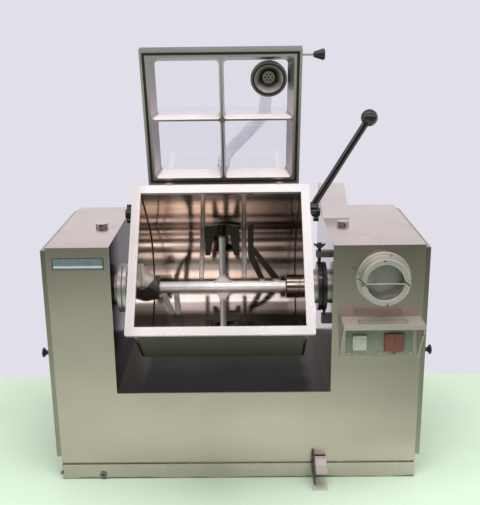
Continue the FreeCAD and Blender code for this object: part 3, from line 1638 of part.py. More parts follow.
def make_pedal():
    x0 = right_side - cell.pedal_inset
    x1 = x0 + cell.pedal_width
    plate = cell.pedal_plate
    far = front - cell.pedal_reach
    body = new_body("pedal_bracket")
    cheek = sketch(body, "YZ_Plane", x0)
    outline(cheek, [
        (front, 0), (far, 0), (far, cell.cheek_toe), (front - cell.cheek_shoulder_reach, cell.cheek_shoulder),
        (front - cell.cheek_top_reach, cell.cheek_height), (front, cell.cheek_height),
    ])
    pad(body, cheek, plate)
    foot = sketch(body, "XY_Plane")
    rectangle(foot, x0 + plate - cell.free_gap, x1, far, far + cell.pedal_foot)
    pad(body, foot, plate)
    pin_z = cell.pedal_pin_height
    pin_y = front - cell.pedal_pin_reach
    pin = circle(sketch(body, "YZ_Plane", x0), pin_y, pin_z, cell.pedal_pin_radius)
    pad(body, pin, cell.pedal_width)
    for z in (cell.pedal_bolt_high, cell.pedal_bolt_low):
        head = circle(sketch(body, "YZ_Plane", x0), front - cell.pedal_bolt_reach, z, cell.pedal_bolt_radius)
        pad(body, head, cell.pedal_bolt_head, back=True)

    pedal = new_body("pedal")
    gap, boss = cell.pedal_side_gap, cell.pedal_boss
    arm = sketch(pedal, "YZ_Plane", x0 + plate + gap)
    outline(arm, [
        (boss, -boss), (boss, boss), (-boss, boss), (-cell.pedal_knee, -cell.pedal_knee_drop),
        (-cell.pedal_toe, -cell.pedal_toe_high), (-cell.pedal_toe_tip, -cell.pedal_toe_low),
        (-cell.pedal_under, -cell.pedal_under_drop), (-boss, -boss),
    ])
    pad(pedal, arm, cell.pedal_width - plate - gap * 2)
    bore = circle(sketch(pedal, "YZ_Plane"), 0, 0, cell.pedal_pin_radius + cell.running_gap)
    pocket(pedal, bore, cell.width * 2, both=True)
    place(pedal, 0, pin_y, pin_z)


make_base_pan()
make_front_panel()
make_back_panel()
make_casings()
make_well_tray()
for side_name, side_sign in SIDES:
    make_side_cover(f"{side_name}_side_cover", side_sign)
    make_cover_knob(f"{side_name}_cover_knob", side_sign)
make_top_caps()
make_nameplate()
make_ramp_hood()
make_filter()
make_filter_pipe()
make_control_hood()
make_switches()
make_panel_screws()
make_bearings()
make_trunnions()
make_plunger()
make_limit_switch()
make_bowl()
make_hinge()
make_lever()
make_mixing_arm()
make_hubs()
make_drive()
make_pump()
make_lid_frame()
make_lid_fittings()
make_pedal()
doc.recompute()

failed = [item for item in doc.Objects if "Invalid" in item.State or "Error" in item.State]
if failed:
    names = [f"{item.Name}: {item.getStatusString()}" for item in failed]
    raise RuntimeError("objects that failed: " + "; ".join(names))
for name, item in nodes.items():
    if item.Shape.isNull() or not item.Shape.isValid() or not item.Shape.Solids:
        raise RuntimeError("bad shape: " + name)

os.makedirs("parts", exist_ok=True)
for name, item in nodes.items():
    item.Shape.exportStep(f"parts/{name}.step")
print(len(nodes), "nodes")
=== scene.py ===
import json
import math

import bpy
from mathutils import Matrix, Vector


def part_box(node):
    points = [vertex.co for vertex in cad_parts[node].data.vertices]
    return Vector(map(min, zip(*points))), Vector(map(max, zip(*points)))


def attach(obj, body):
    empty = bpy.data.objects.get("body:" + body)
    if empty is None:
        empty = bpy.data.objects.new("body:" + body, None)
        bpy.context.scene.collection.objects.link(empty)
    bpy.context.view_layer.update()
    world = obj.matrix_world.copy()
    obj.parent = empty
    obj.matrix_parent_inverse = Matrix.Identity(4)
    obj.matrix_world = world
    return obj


# Vacuum meat mixer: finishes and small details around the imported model. Metres.
# X runs to the right across the front, Y to the back, Z up.

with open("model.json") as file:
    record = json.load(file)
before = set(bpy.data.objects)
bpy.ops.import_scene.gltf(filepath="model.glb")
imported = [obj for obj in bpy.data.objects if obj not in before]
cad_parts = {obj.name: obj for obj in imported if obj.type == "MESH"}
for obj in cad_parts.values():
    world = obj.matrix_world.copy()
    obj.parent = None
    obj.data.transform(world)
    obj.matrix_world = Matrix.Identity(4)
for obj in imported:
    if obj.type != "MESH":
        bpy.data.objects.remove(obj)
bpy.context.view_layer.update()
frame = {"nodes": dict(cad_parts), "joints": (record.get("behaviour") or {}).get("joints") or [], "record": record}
nodes = frame["nodes"]


# Places taken from the frame

bowl_joint = next(joint for joint in frame["joints"] if joint["name"] == "bowl_tilt")
BOWL_AXIS = Vector(bowl_joint["pos_m"])
# The bowl stands upright at the joint's lower limit, so this is how far it leans forward at rest
BOWL_TILT = math.radians(-bowl_joint["range_deg"][0])
BOWL_END = round(BOWL_AXIS.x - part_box("left_bowl_end")[0].x, 4)
CABINET_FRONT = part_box("front_panel")[0].y

# The bowl's own sizes, measured from its axis
WALL_INSIDE = 0.207
WALL_OUTSIDE = 0.21
RIM_UNDERSIDE = 0.215


# Camera, fitted to the photograph

PHOTO_SIZE = (480, 505)
FOCAL_PIXELS = 794.38
SENSOR_WIDTH = 36
CAMERA_PLACE = Vector((0.03018, -2.45985, 1.37583))
CAMERA_PITCH = 0.2828
CAMERA_YAW = -0.0074
CAMERA_ROLL = 0.0115


def make_camera():
    data = bpy.data.cameras.new("camera")
    data.sensor_width = SENSOR_WIDTH
    data.lens = FOCAL_PIXELS * SENSOR_WIDTH / max(PHOTO_SIZE)
    camera = bpy.data.objects.new("camera", data)
    bpy.context.scene.collection.objects.link(camera)
    pitch, yaw, roll = CAMERA_PITCH, CAMERA_YAW, CAMERA_ROLL
    forward = Vector((math.sin(yaw) * math.cos(pitch), math.cos(yaw) * math.cos(pitch), -math.sin(pitch)))
    level = Vector((math.cos(yaw), -math.sin(yaw), 0))
    down = forward.cross(level)
    right = level * math.cos(roll) + down * math.sin(roll)
    low = down * math.cos(roll) - level * math.sin(roll)
    turn = Matrix((right, -low, -forward)).transposed()
    camera.matrix_world = Matrix.Translation(CAMERA_PLACE) @ turn.to_4x4()
    bpy.context.scene.camera = camera


make_camera()


# Shader building blocks

def set_stops(colour_ramp, stops):
    marks = colour_ramp.elements
    while len(marks) < len(stops):
        marks.new(0.5)
    for mark, (position, colour) in zip(marks, stops):
        mark.position = position
        mark.color = (*colour, 1)


class Shading:
    """A material with one Principled shader, and short ways to wire textures into it."""

    def __init__(self, name, **constants):
        self.material = bpy.data.materials.new(name)
        self.material.use_nodes = True
        self.tree = self.material.node_tree
        self.shader = self.tree.nodes["Principled BSDF"]
        self.place = self.tree.nodes.new("ShaderNodeTexCoord").outputs["Object"]
        for socket, value in constants.items():
            self.shader.inputs[socket.replace("_", " ")].default_value = value

    def put(self, socket, value):
        """Link another node's output to a socket, or set the socket's own value."""
        if isinstance(value, bpy.types.NodeSocket):
            self.tree.links.new(value, socket)
        else:
            socket.default_value = value

    def link(self, output, socket):
        self.tree.links.new(output, self.shader.inputs[socket])

    def node(self, kind, **settings):
        made = self.tree.nodes.new(kind)
        for key, value in settings.items():
            setattr(made, key, value)
        return made

    def feed(self, made, **inputs):
        for key, value in inputs.items():
            self.put(made.inputs[key], value)

    def noise(self, scale, detail=3.0, rough=0.55, stretch=None):
        vector = self.place
        if stretch is not None:
            mapping = self.node("ShaderNodeMapping")
            self.feed(mapping, Vector=self.place, Scale=stretch)
            vector = mapping.outputs["Vector"]
        made = self.node("ShaderNodeTexNoise")
        self.feed(made, Vector=vector, Scale=scale, Detail=detail, Roughness=rough)
        return made.outputs["Fac"]

    def ramp(self, fac, *stops):
        """Colours, or greys given as one number, at positions from 0 to 1."""
        made = self.node("ShaderNodeValToRGB")
        self.feed(made, Fac=fac)
        set_stops(made.color_ramp, [(position, colour if isinstance(colour, tuple) else (colour,) * 3)
                                    for position, colour in stops])
        return made.outputs["Color"]

    def band(self, value, start, full, fade, end):
        """1 between two marks on a value, falling to 0 outside them."""
        return self.ramp(value, (start, 0.0), (full, 1.0), (fade, 1.0), (end, 0.0))

    def span(self, value, low, high, out_low, out_high):
        """Map one range of a value to another, held at its ends."""
        made = self.node("ShaderNodeMapRange")
        names = ("Value", "From Min", "From Max", "To Min", "To Max")
        for name, given in zip(names, (value, low, high, out_low, out_high)):
            self.put(made.inputs[name], given)
        return made.outputs["Result"]

    def maths(self, operation, a, b=0.0):
        made = self.node("ShaderNodeMath", operation=operation)
        self.put(made.inputs[0], a)
        self.put(made.inputs[1], b)
        return made.outputs["Value"]

    def length(self, a, b):
        """The straight distance over a step a and a step b square to it."""
        square = self.maths("ADD", self.maths("MULTIPLY", a, a), self.maths("MULTIPLY", b, b))
        return self.maths("POWER", square, 0.5)

    def vector(self, operation, a, b=None):
        made = self.node("ShaderNodeVectorMath", operation=operation)
        self.put(made.inputs[0], a)
        if b is not None:
            self.put(made.inputs[1], b)
        return made.outputs["Value" if operation in ("LENGTH", "DOT_PRODUCT") else "Vector"]

    def blend(self, fac, first, second, mode="MIX"):
        made = self.node("ShaderNodeMix", data_type="RGBA", blend_type=mode)
        self.put(made.inputs[0], fac)
        for socket, colour in ((made.inputs[6], first), (made.inputs[7], second)):
            self.put(socket, (*colour, 1) if isinstance(colour, tuple) else colour)
        return made.outputs[2]

    def multiply(self, colour, factor):
        made = self.node("ShaderNodeVectorMath", operation="SCALE")
        self.feed(made, Vector=colour, Scale=factor)
        return made.outputs["Vector"]

    def axis(self, name):
        made = self.node("ShaderNodeSeparateXYZ")
        self.feed(made, Vector=self.place)
        return made.outputs[name]

    def relief(self, height, strength, distance, soft_edge=0.0):
        made = self.node("ShaderNodeBump")
        self.feed(made, Height=height, Strength=strength, Distance=distance)
        if soft_edge:
            edge = self.node("ShaderNodeBevel", samples=4)
            self.feed(edge, Radius=soft_edge)
            self.feed(made, Normal=edge.outputs["Normal"])
        self.link(made.outputs["Normal"], "Normal")


# How a steel's grain is stretched: brushed up and down, from side to side, round the bowl, or not at all
VERTICAL = (60, 60, 0.6)
ACROSS = (0.6, 60, 60)
ROUND = (60, 1.5, 1.5)
EVEN = (1, 1, 1)


def steel(name, tone, dark, rough, spread, grain, grain_scale=9, edge=0.0012, bump=0.06, metal=1.0,
          shade=None):
    """Sheet or bar steel: brushed grain, broad clouds in tone and gloss, and a few smudges.

    shade is a function that gives a factor for the tone over the piece. metal is a number or such a function.
    """
    look = Shading(name)
    look.put(look.shader.inputs["Metallic"], metal(look) if callable(metal) else metal)
    lines = look.noise(grain_scale, detail=4, rough=0.7, stretch=grain)
    clouds = look.noise(2.2, detail=4, rough=0.6)
    smudge = look.noise(11.0, detail=5, rough=0.7)
    streaks = look.ramp(lines, (0.25, 0.93), (0.75, 1.0))
    colour = look.blend(0.6, look.ramp(clouds, (0.3, dark), (0.72, tone)), streaks, "MULTIPLY")
    if shade:
        shaded = shade(look)
        look.link(look.multiply(colour, shaded), "Base Color")
        look.link(shaded, "Specular Tint")
    else:
        look.link(colour, "Base Color")
    base = look.span(lines, 0.2, 0.8, rough - spread, rough + spread)
    patch = look.span(smudge, 0.52, 0.75, 0.0, 0.07)
    look.link(look.maths("ADD", base, patch), "Roughness")
    look.relief(lines, bump, 0.0002, soft_edge=edge)
    return look.material


def plastic(name, colour, dull, rough, bump=0.1, coat=0.0):
    """Moulded plastic, rubber or paint: a fine speckle in tone and gloss."""
    look = Shading(name, Coat_Weight=coat)
    speck = look.noise(60.0, detail=4)
    look.link(look.ramp(speck, (0.3, dull), (0.7, colour)), "Base Color")
    look.link(look.span(speck, 0.3, 0.7, rough - 0.06, rough + 0.08), "Roughness")
    look.relief(look.noise(360.0, detail=2), bump, 0.0003, soft_edge=0.0006)
    return look.material


def make_clear(name, tint):
    """Clear sheet, a little dull in patches."""
    look = Shading(name, Transmission_Weight=1.0, IOR=1.45, Base_Color=tint)
    marks = look.noise(5.0, detail=6)
    look.link(look.span(marks, 0.45, 0.8, 0.02, 0.1), "Roughness")
    return look.material


def make_hose():
    """Milky see-through plastic."""
    look = Shading("hose_plastic", Transmission_Weight=0.92, IOR=1.14)
    marks = look.noise(7.0, detail=5)
    look.link(look.ramp(marks, (0.3, (0.86, 0.88, 0.9)), (0.7, (0.95, 0.96, 0.97))), "Base Color")
    look.link(look.span(marks, 0.3, 0.7, 0.3, 0.5), "Roughness")
    return look.material


# Finishes of the material slots

STEELS = {
    "brushed_steel": dict(tone=(0.6, 0.51, 0.475), dark=(0.53, 0.445, 0.415), rough=0.2, spread=0.025,
                          grain=VERTICAL),
    "mirror_steel": dict(tone=(0.7, 0.63, 0.59), dark=(0.6, 0.53, 0.49), rough=0.13, spread=0.04,
                         grain=ROUND, grain_scale=6),
    "satin_steel": dict(tone=(0.72, 0.7, 0.7), dark=(0.62, 0.6, 0.6), rough=0.2, spread=0.05, grain=ACROSS,
                        edge=0.0008),
    "cast_alloy": dict(tone=(0.72, 0.66, 0.66), dark=(0.56, 0.51, 0.51), rough=0.42, spread=0.08, grain=EVEN,
                       grain_scale=90, edge=0.0015, bump=0.5),
    "structural_steel": dict(tone=(0.4, 0.4, 0.4), dark=(0.25, 0.24, 0.23), rough=0.45, spread=0.06,
                             grain=ACROSS, edge=0.0),
    "cast_iron": dict(tone=(0.17, 0.17, 0.18), dark=(0.1, 0.1, 0.1), rough=0.5, spread=0.05, grain=EVEN,
                      grain_scale=200, edge=0.0006, bump=0.4),
}

PLASTICS = {
    "black_plastic": dict(colour=(0.012, 0.012, 0.013), dull=(0.02, 0.02, 0.02), rough=0.2, coat=0.5),
    "seal_rubber": dict(colour=(0.03, 0.028, 0.025), dull=(0.018, 0.017, 0.015), rough=0.6),
    "white_plastic": dict(colour=(0.84, 0.82, 0.76), dull=(0.72, 0.7, 0.64), rough=0.4),
    "red_plastic": dict(colour=(0.35, 0.115, 0.105), dull=(0.28, 0.09, 0.08), rough=0.4),
    "grey_plastic": dict(colour=(0.36, 0.38, 0.32), dull=(0.28, 0.3, 0.26), rough=0.45),
    "name_plate": dict(colour=(0.12, 0.3, 0.28), dull=(0.1, 0.24, 0.23), rough=0.35),
    "machine_paint": dict(colour=(0.11, 0.17, 0.22), dull=(0.08, 0.13, 0.17), rough=0.35, bump=0.3),
}

FINISHES = {slot: steel(slot, **values) for slot, values in STEELS.items()}
FINISHES.update({slot: plastic(slot, **values) for slot, values in PLASTICS.items()})
FINISHES["clear_panel"] = make_clear("clear_panel", (0.97, 0.97, 0.99, 1))
FINISHES["hose_plastic"] = make_hose()


# Shades of single pieces, most of them painted light and shade: 1 leaves the steel as it is, less darkens it and
# more brightens it

def gap_side_shade(look):
    """The left casing's face towards the bowl, darker by painted shade, most near the front."""
    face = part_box("left_casing")[1].x
    facing = look.span(look.axis("X"), face - 0.001, face - 0.0005, 0.0, 1.0)
    depth = look.span(look.axis("Y"), CABINET_FRONT, CABINET_FRONT + 0.18, 0.87, 0.55)
    height = look.span(look.axis("Z"), 0.38, 0.5, 0.6, 1.0)
    dark = look.maths("MULTIPLY", facing, look.maths("MULTIPLY", depth, height))
    return look.maths("SUBTRACT", 1.0, dark)


def front_shade(look):
    """Front panel, in painted shade: a darker patch on both columns at mid height, and a darker right column."""
    height = look.span(look.axis("Z"), 0.2, 0.8, 0.0, 1.0)
    right = look.ramp(height, (0.0, 0.95), (0.12, 0.82), (0.3, 0.76), (0.45, 0.8), (0.9, 0.85))
    left = look.ramp(height, (0.0, 0.96), (0.3, 0.87), (0.6, 0.92), (0.9, 0.95))
    return look.blend(look.span(look.axis("X"), -0.1, 0.1, 0.0, 1.0), left, right)


def recess_shade(look):
    """A plate let into the hood's sloping top, shown by painted shade: dark seams and a darker middle."""
    low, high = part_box("control_hood")
    width = high.x - low.x
    across = look.span(look.axis("X"), low.x, high.x, 0.0, 1.0)
    slope = look.span(look.axis("Y"), low.y, high.y, 0.0, 1.0)
    plate = look.maths("MULTIPLY", look.band(across, 0.195, 0.2, 0.795, 0.8),
                       look.band(slope, 0.2, 0.24, 0.66, 0.7))
    heart = look.maths("MULTIPLY", look.band(across, 0.215, 0.22, 0.775, 0.78),
                       look.band(slope, 0.27, 0.31, 0.59, 0.63))
    seam = look.maths("SUBTRACT", plate, heart)
    top = look.span(look.axis("Z"), high.z - width * 0.3, high.z - width * 0.29, 0.0, 1.0)
    dark = look.maths("ADD", look.maths("MULTIPLY", seam, 0.5), look.maths("MULTIPLY", heart, 0.12))
    return look.maths("SUBTRACT", 1.0, look.maths("MULTIPLY", dark, top))


HUB_LINE_SLOPE = 0.85
HUB_LINE_HEIGHT = 0.848


def hub_shade(look):
    """The left hub's cone, in painted light and shade: bright above a line that rises to the right, and dark below
    it.
    """
    line = look.maths("MULTIPLY", look.axis("X"), HUB_LINE_SLOPE)
    above = look.maths("SUBTRACT", look.axis("Z"), line)
    return look.span(above, HUB_LINE_HEIGHT, HUB_LINE_HEIGHT + 0.008, 0.2, 1.0)


def plinth_shade(look):
    """A dark uneven line where the plinth meets the floor, a painted contact shadow."""
    wavy = look.span(look.noise(9.0, detail=4), 0.35, 0.65, 0.0, 0.005)
    return look.span(look.maths("SUBTRACT", look.axis("Z"), wavy), 0.0005, 0.0025, 0.4, 1.0)


def pedal_shade(look):
    """The pedal's bracket: bright foot, and the rest in the shade of the pedal."""
    return look.span(look.axis("Z"), 0.012, 0.02, 1.0, 0.12)


def bowl_offsets(look):
    """How far a point lies behind and above the bowl's axis."""
    back = look.maths("SUBTRACT", look.axis("Y"), BOWL_AXIS.y)
    rise = look.maths("SUBTRACT", look.axis("Z"), BOWL_AXIS.z)
    return back, rise


def bearing_shade(look):
    """A dark ring round the outer edge of a flange or trunnion on the left side."""
    ring = look.span(look.length(*bowl_offsets(look)), 0.0695, 0.072, 1.0, 0.1)
    return look.maths("MAXIMUM", ring, look.span(look.axis("X"), 0.0, 0.01, 1.0, 0.0))


def port_place():
    """The middle of the port's mouth and the direction from the mouth into its neck."""
    points = [vertex.co for vertex in nodes["vacuum_port"].data.vertices]
    panel = nodes["lid_panel"].data
    face = max(panel.polygons, key=lambda polygon: polygon.area).normal.copy()
    low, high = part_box("vacuum_port")
    centre = (low + high) / 2
    if face.dot(CAMERA_PLACE - centre) > 0:
        face = -face
    along = face.cross(Vector((1, 0, 0))).normalized()
    reach = [point.dot(along) for point in points]
    mouth = min(point.dot(face) for point in points)
    middle = along * (min(reach) + max(reach)) / 2 + face * mouth
    middle.x = centre.x
    return middle, face


def lid_ledges(look, plain, ledge):
    """One value on the window ledges that look up along the open lid, another on the rest of its frame."""
    up = Vector((1, 0, 0)).cross(port_place()[1])
    normal = look.node("ShaderNodeTexCoord").outputs["Normal"]
    facing = look.span(look.vector("DOT_PRODUCT", normal, up), 0.5, 0.75, 0.0, 1.0)
    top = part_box("lid_frame")[1].z
    windows = look.span(look.axis("Z"), top - 0.04, top - 0.03, 1.0, 0.0)
    return look.span(look.maths("MULTIPLY", facing, windows), 0.0, 1.0, plain, ledge)


def ledge_metal(look):
    """The ledges hardly mirror the dark room above them."""
    return lid_ledges(look, 1.0, 0.1)


def ledge_painted_highlight(look):
    """Painted highlight: the ledges' tone is raised, as if they catch the light from above."""
    return lid_ledges(look, 1.0, 1.35)


# Finishes, and painted light and shade, of single pieces that aren't those of their slot

OWN_STEELS = {
    "ramp_hood": dict(tone=(0.6, 0.56, 0.57), dark=(0.52, 0.48, 0.49), rough=0.5, spread=0.06,
                      grain=VERTICAL, metal=0.45),
    "control_hood": dict(tone=(0.64, 0.59, 0.55), dark=(0.55, 0.5, 0.46), rough=0.42, spread=0.06,
                         grain=VERTICAL, metal=0.7, shade=recess_shade),
    "tilt_lever": dict(tone=(0.14, 0.13, 0.14), dark=(0.09, 0.085, 0.09), rough=0.2, spread=0.05,
                       grain=ACROSS, edge=0.0008),
    "base_pan": dict(tone=(0.62, 0.54, 0.5), dark=(0.5, 0.43, 0.4), rough=0.24, spread=0.03, grain=ACROSS,
                     shade=plinth_shade),
    "left_casing": dict(STEELS["brushed_steel"], shade=gap_side_shade),
    "front_panel": dict(tone=(0.64, 0.535, 0.5), dark=(0.55, 0.455, 0.425), rough=0.2, spread=0.025,
                        grain=VERTICAL, shade=front_shade),
    "pedal_bracket": dict(tone=(0.75, 0.75, 0.7), dark=(0.6, 0.6, 0.56), rough=0.4, spread=0.06, grain=EVEN,
                          grain_scale=60, metal=0.5, shade=pedal_shade),
    "pedal": dict(tone=(0.62, 0.58, 0.56), dark=(0.42, 0.38, 0.36), rough=0.35, spread=0.08, grain=EVEN,
                  grain_scale=60, metal=0.5),
    "left_hub": dict(tone=(0.95, 0.9, 0.87), dark=(0.86, 0.8, 0.78), rough=0.2, spread=0.05, grain=EVEN,
                     grain_scale=14, edge=0.001, metal=0.7, shade=hub_shade),
    "filter_ring": dict(tone=(0.9, 0.87, 0.84), dark=(0.76, 0.73, 0.7), rough=0.45, spread=0.06, grain=EVEN,
                        grain_scale=40),
    "filter_housing": dict(tone=(0.86, 0.82, 0.78), dark=(0.62, 0.58, 0.54), rough=0.36, spread=0.08,
                           grain=EVEN, grain_scale=30, metal=0.8),
    "plunger_guide": dict(tone=(0.3, 0.28, 0.28), dark=(0.2, 0.18, 0.18), rough=0.4, spread=0.08, grain=EVEN,
                          grain_scale=40),
    "lid_frame": dict(STEELS["cast_alloy"], metal=ledge_metal, shade=ledge_painted_highlight),
}

SIDE_COVER = dict(tone=(0.36, 0.33, 0.28), dark=(0.3, 0.275, 0.235), rough=0.25, spread=0.03, grain=VERTICAL)
BEARING = dict(tone=(0.68, 0.64, 0.64), dark=(0.4, 0.37, 0.37), rough=0.3, spread=0.08, grain=EVEN,
               grain_scale=40, metal=0.65, shade=bearing_shade)
for side in ("left", "right"):
    OWN_STEELS[side + "_side_cover"] = SIDE_COVER
    OWN_STEELS[side + "_bearing_flange"] = BEARING
    OWN_STEELS[side + "_trunnion"] = BEARING


def bowl_distance(look):
    """How far a point lies from the bowl's axis, or above it from the plane that holds the axis."""
    c, s = math.cos(BOWL_TILT), math.sin(BOWL_TILT)
    back, rise = bowl_offsets(look)
    along = look.maths("ADD", look.maths("MULTIPLY", back, c), look.maths("MULTIPLY", rise, s))
    above = look.maths("SUBTRACT", look.maths("MULTIPLY", rise, c), look.maths("MULTIPLY", back, s))
    return look.length(along, look.maths("MINIMUM", above, 0.0))


def make_bowl_look():
    """Polished inside wall, darker brown towards the right end by painted shade; the outside is matt and painted
    dark as shade.
    """
    look = Shading("bowl_trough")
    lines = look.noise(6, detail=4, rough=0.7, stretch=ROUND)
    bands = look.noise(9, detail=5, rough=0.75, stretch=(0.5, 9, 9))
    clouds = look.noise(3.0, detail=4, rough=0.6)
    colour = look.ramp(clouds, (0.3, (0.74, 0.65, 0.6)), (0.72, (0.86, 0.79, 0.74)))
    across = look.maths("ADD", look.axis("X"), look.span(clouds, 0.3, 0.7, -0.03, 0.03))
    # painted shade: the inside darkens towards the right end
    shade = look.ramp(look.span(across, -0.04, 0.14, 0, 1), (0.0, 1.0), (0.45, 0.75), (1.0, 0.5))
    streak = look.maths("MULTIPLY", look.span(lines, 0.2, 0.8, 0.93, 1.0),
                        look.span(bands, 0.35, 0.65, 0.84, 1.03))
    inside = look.multiply(look.multiply(colour, shade), streak)
    # the outside is painted dark as shade
    outer = look.span(bowl_distance(look), WALL_INSIDE + 0.0002, WALL_INSIDE + 0.0008, 0.0, 1.0)
    look.link(look.blend(outer, inside, (0.085, 0.078, 0.062)), "Base Color")
    look.link(look.span(outer, 0, 1, 1.0, 0.35), "Metallic")
    gloss = look.span(bands, 0.3, 0.7, 0.05, 0.12)
    look.link(look.maths("MAXIMUM", gloss, look.span(outer, 0, 1, 0.0, 0.42)), "Roughness")
    look.relief(look.noise(9, detail=4, rough=0.6, stretch=(0.35, 20, 20)), 0.22, 0.0004)
    return look.material


def flat_faces(look, radius):
    """1 on flat faces, falling to 0 within a given distance of an edge."""
    soft = look.node("ShaderNodeBevel", samples=4)
    look.feed(soft, Radius=radius)
    normal = look.node("ShaderNodeNewGeometry").outputs["Normal"]
    return look.span(look.vector("DOT_PRODUCT", soft.outputs["Normal"], normal), 0.75, 0.99, 0.0, 1.0)


def make_arm_look():
    """Forged arm: pale and matt along the shaft and posts, painted dark as shade at the fork and right paddle."""
    look = Shading("mixing_arm")
    grain = look.noise(40, detail=5, rough=0.7)
    along = look.maths("SUBTRACT", look.axis("X"), BOWL_AXIS.x)
    across = look.maths("ABSOLUTE", along)
    radius = look.length(*bowl_offsets(look))
    off_shaft = look.span(radius, 0.02, 0.03, 0, 1)
    crown = look.maths("MULTIPLY", look.span(across, 0.018, 0.024, 0, 1),
                       look.span(radius, 0.08, 0.09, 0, 1))
    fork = look.maths("MAXIMUM", look.span(radius, 0.155, 0.165, 0, 1), crown)
    right_paddle = look.maths("MULTIPLY", look.span(along, 0.06, 0.065, 0, 1), off_shaft)
    left_paddle = look.maths("MULTIPLY", look.span(along, -0.065, -0.06, 1, 0), off_shaft)
    # painted shade: the fork and the right paddle are dark
    dark = look.maths("MAXIMUM", fork, right_paddle)
    pale = look.ramp(grain, (0.3, (0.86, 0.82, 0.8)), (0.7, (0.98, 0.96, 0.96)))
    # painted light and shade: the left paddle is lighter above the axis than below it
    lit = look.span(look.axis("Z"), 0.585, 0.625, 0.5, 1.0)
    grey = look.blend(left_paddle, pale, look.multiply((0.86, 0.8, 0.78), lit))
    grey = look.multiply(grey, look.span(along, -0.11, -0.03, 0.72, 1.0))
    plain = look.blend(dark, grey, (0.07, 0.06, 0.05))
    # painted shade along the edges, except on the shaft
    rim = look.maths("MAXIMUM", flat_faces(look, 0.0035), look.span(radius, 0.017, 0.02, 1, 0))
    # the posts are brightest left of their middle, like any round bar lit from one side
    round_post = look.ramp(look.span(along, -0.0105, 0.0105, 0, 1), (0.0, 0.12), (0.12, 0.5), (0.38, 0.7),
                           (0.55, 0.3), (0.85, 0.2), (1.0, 0.06))
    on_posts = look.maths("MULTIPLY", look.span(radius, 0.03, 0.045, 0, 1),
                          look.span(across, 0.011, 0.013, 1, 0))
    shadow = look.maths("MULTIPLY", on_posts, look.maths("SUBTRACT", 1.0, round_post))
    shade = look.span(shadow, 0, 1, 1.0, 0.0)
    look.link(look.multiply(look.multiply(plain, look.span(rim, 0, 1, 0.16, 1.0)), shade), "Base Color")
    metal = look.span(dark, 0, 1, 0.5, 1.0)
    look.link(look.maths("SUBTRACT", metal, look.maths("MULTIPLY", left_paddle, 0.3)), "Metallic")
    look.link(look.span(grain, 0.3, 0.7, 0.14, 0.26), "Roughness")
    look.relief(grain, 0.2, 0.0004, soft_edge=0.002)
    return look.material


def make_rim_look():
    """The bright flat ring round the bowl's opening, almost white under the ceiling."""
    look = Shading("bowl_rim", Metallic=0.3)
    clouds = look.noise(4.0, detail=5, rough=0.6)
    plain = look.ramp(clouds, (0.3, (0.605, 0.58, 0.585)), (0.7, (0.66, 0.635, 0.64)))
    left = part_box("bowl_rim")[0].x
    # painted shade: darker towards the rim's left end
    shade = look.span(look.axis("X"), left + 0.013, left + 0.048, 0.8, 1.0)
    look.link(look.multiply(plain, shade), "Base Color")
    look.link(look.span(clouds, 0.3, 0.7, 0.22, 0.34), "Roughness")
    look.relief(look.noise(150, detail=2), 0.06, 0.0002)
    return look.material


def make_pin_look():
    """The fixed pins in the bowl, darker over their upper half by painted shade."""
    look = Shading("baffle_pins", Metallic=0.35)
    grain = look.noise(30, detail=5, rough=0.7)
    plain = look.ramp(grain, (0.3, (0.66, 0.6, 0.55)), (0.7, (0.88, 0.82, 0.77)))
    low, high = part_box("baffle_pins")
    middle = (low.z + high.z) / 2
    shade = look.span(look.axis("Z"), middle, middle + 0.02, 1.0, 0.5)
    look.link(look.multiply(plain, shade), "Base Color")
    look.link(look.span(grain, 0.3, 0.7, 0.28, 0.42), "Roughness")
    look.relief(grain, 0.2, 0.0004)
    return look.material


def make_tray_look():
    """The well under the bowl: painted shade and a painted dark reflection of the bowl in the middle, lighter
    towards its two sides.
    """
    look = Shading("well_tray", Metallic=1.0, Specular_Tint=(0.82, 0.82, 0.82, 1))
    clouds = look.noise(5.0, detail=5, rough=0.6)
    across = look.maths("ABSOLUTE", look.maths("SUBTRACT", look.axis("X"), BOWL_AXIS.x))
    wavy = look.maths("ADD", across, look.span(clouds, 0.3, 0.7, -0.012, 0.012))
    reach = look.span(wavy, 0.24, 0.32, 0, 1)
    # painted shade: dark in the middle under the bowl
    look.link(look.ramp(reach, (0.0, (0.03, 0.028, 0.024)), (1.0, (0.16, 0.145, 0.13))), "Base Color")
    dull = look.span(wavy, 0.24, 0.3, 0.0, 0.32)
    look.link(look.maths("ADD", look.span(clouds, 0.3, 0.7, 0.1, 0.2), dull), "Roughness")
    look.relief(clouds, 0.1, 0.0004)
    return look.material


def make_plate_look():
    """A blank name plate: teal, with a pale band along its lower part and a dark edge."""
    look = Shading("nameplate", Coat_Weight=0.3)
    low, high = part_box("nameplate")
    middle, half = (low.x + high.x) / 2, (high.x - low.x) / 2
    speck = look.noise(50.0, detail=4)
    teal = look.ramp(speck, (0.3, (0.115, 0.17, 0.175)), (0.7, (0.165, 0.23, 0.235)))
    rise = look.span(look.axis("Z"), low.z, high.z, 0.0, 1.0)
    out = look.maths("ABSOLUTE", look.maths("SUBTRACT", look.axis("X"), middle))
    inside = look.span(out, half - 0.004, half - 0.003, 1.0, 0.0)
    pale = look.maths("MULTIPLY", look.band(rise, 0.16, 0.19, 0.33, 0.36), inside)
    field = look.maths("MULTIPLY", inside, look.band(rise, 0.05, 0.08, 0.92, 0.95))
    colour = look.blend(pale, teal, (0.55, 0.6, 0.6))
    look.link(look.multiply(colour, look.span(field, 0, 1, 0.3, 1.0)), "Base Color")
    look.link(look.span(speck, 0.3, 0.7, 0.3, 0.42), "Roughness")
    return look.material


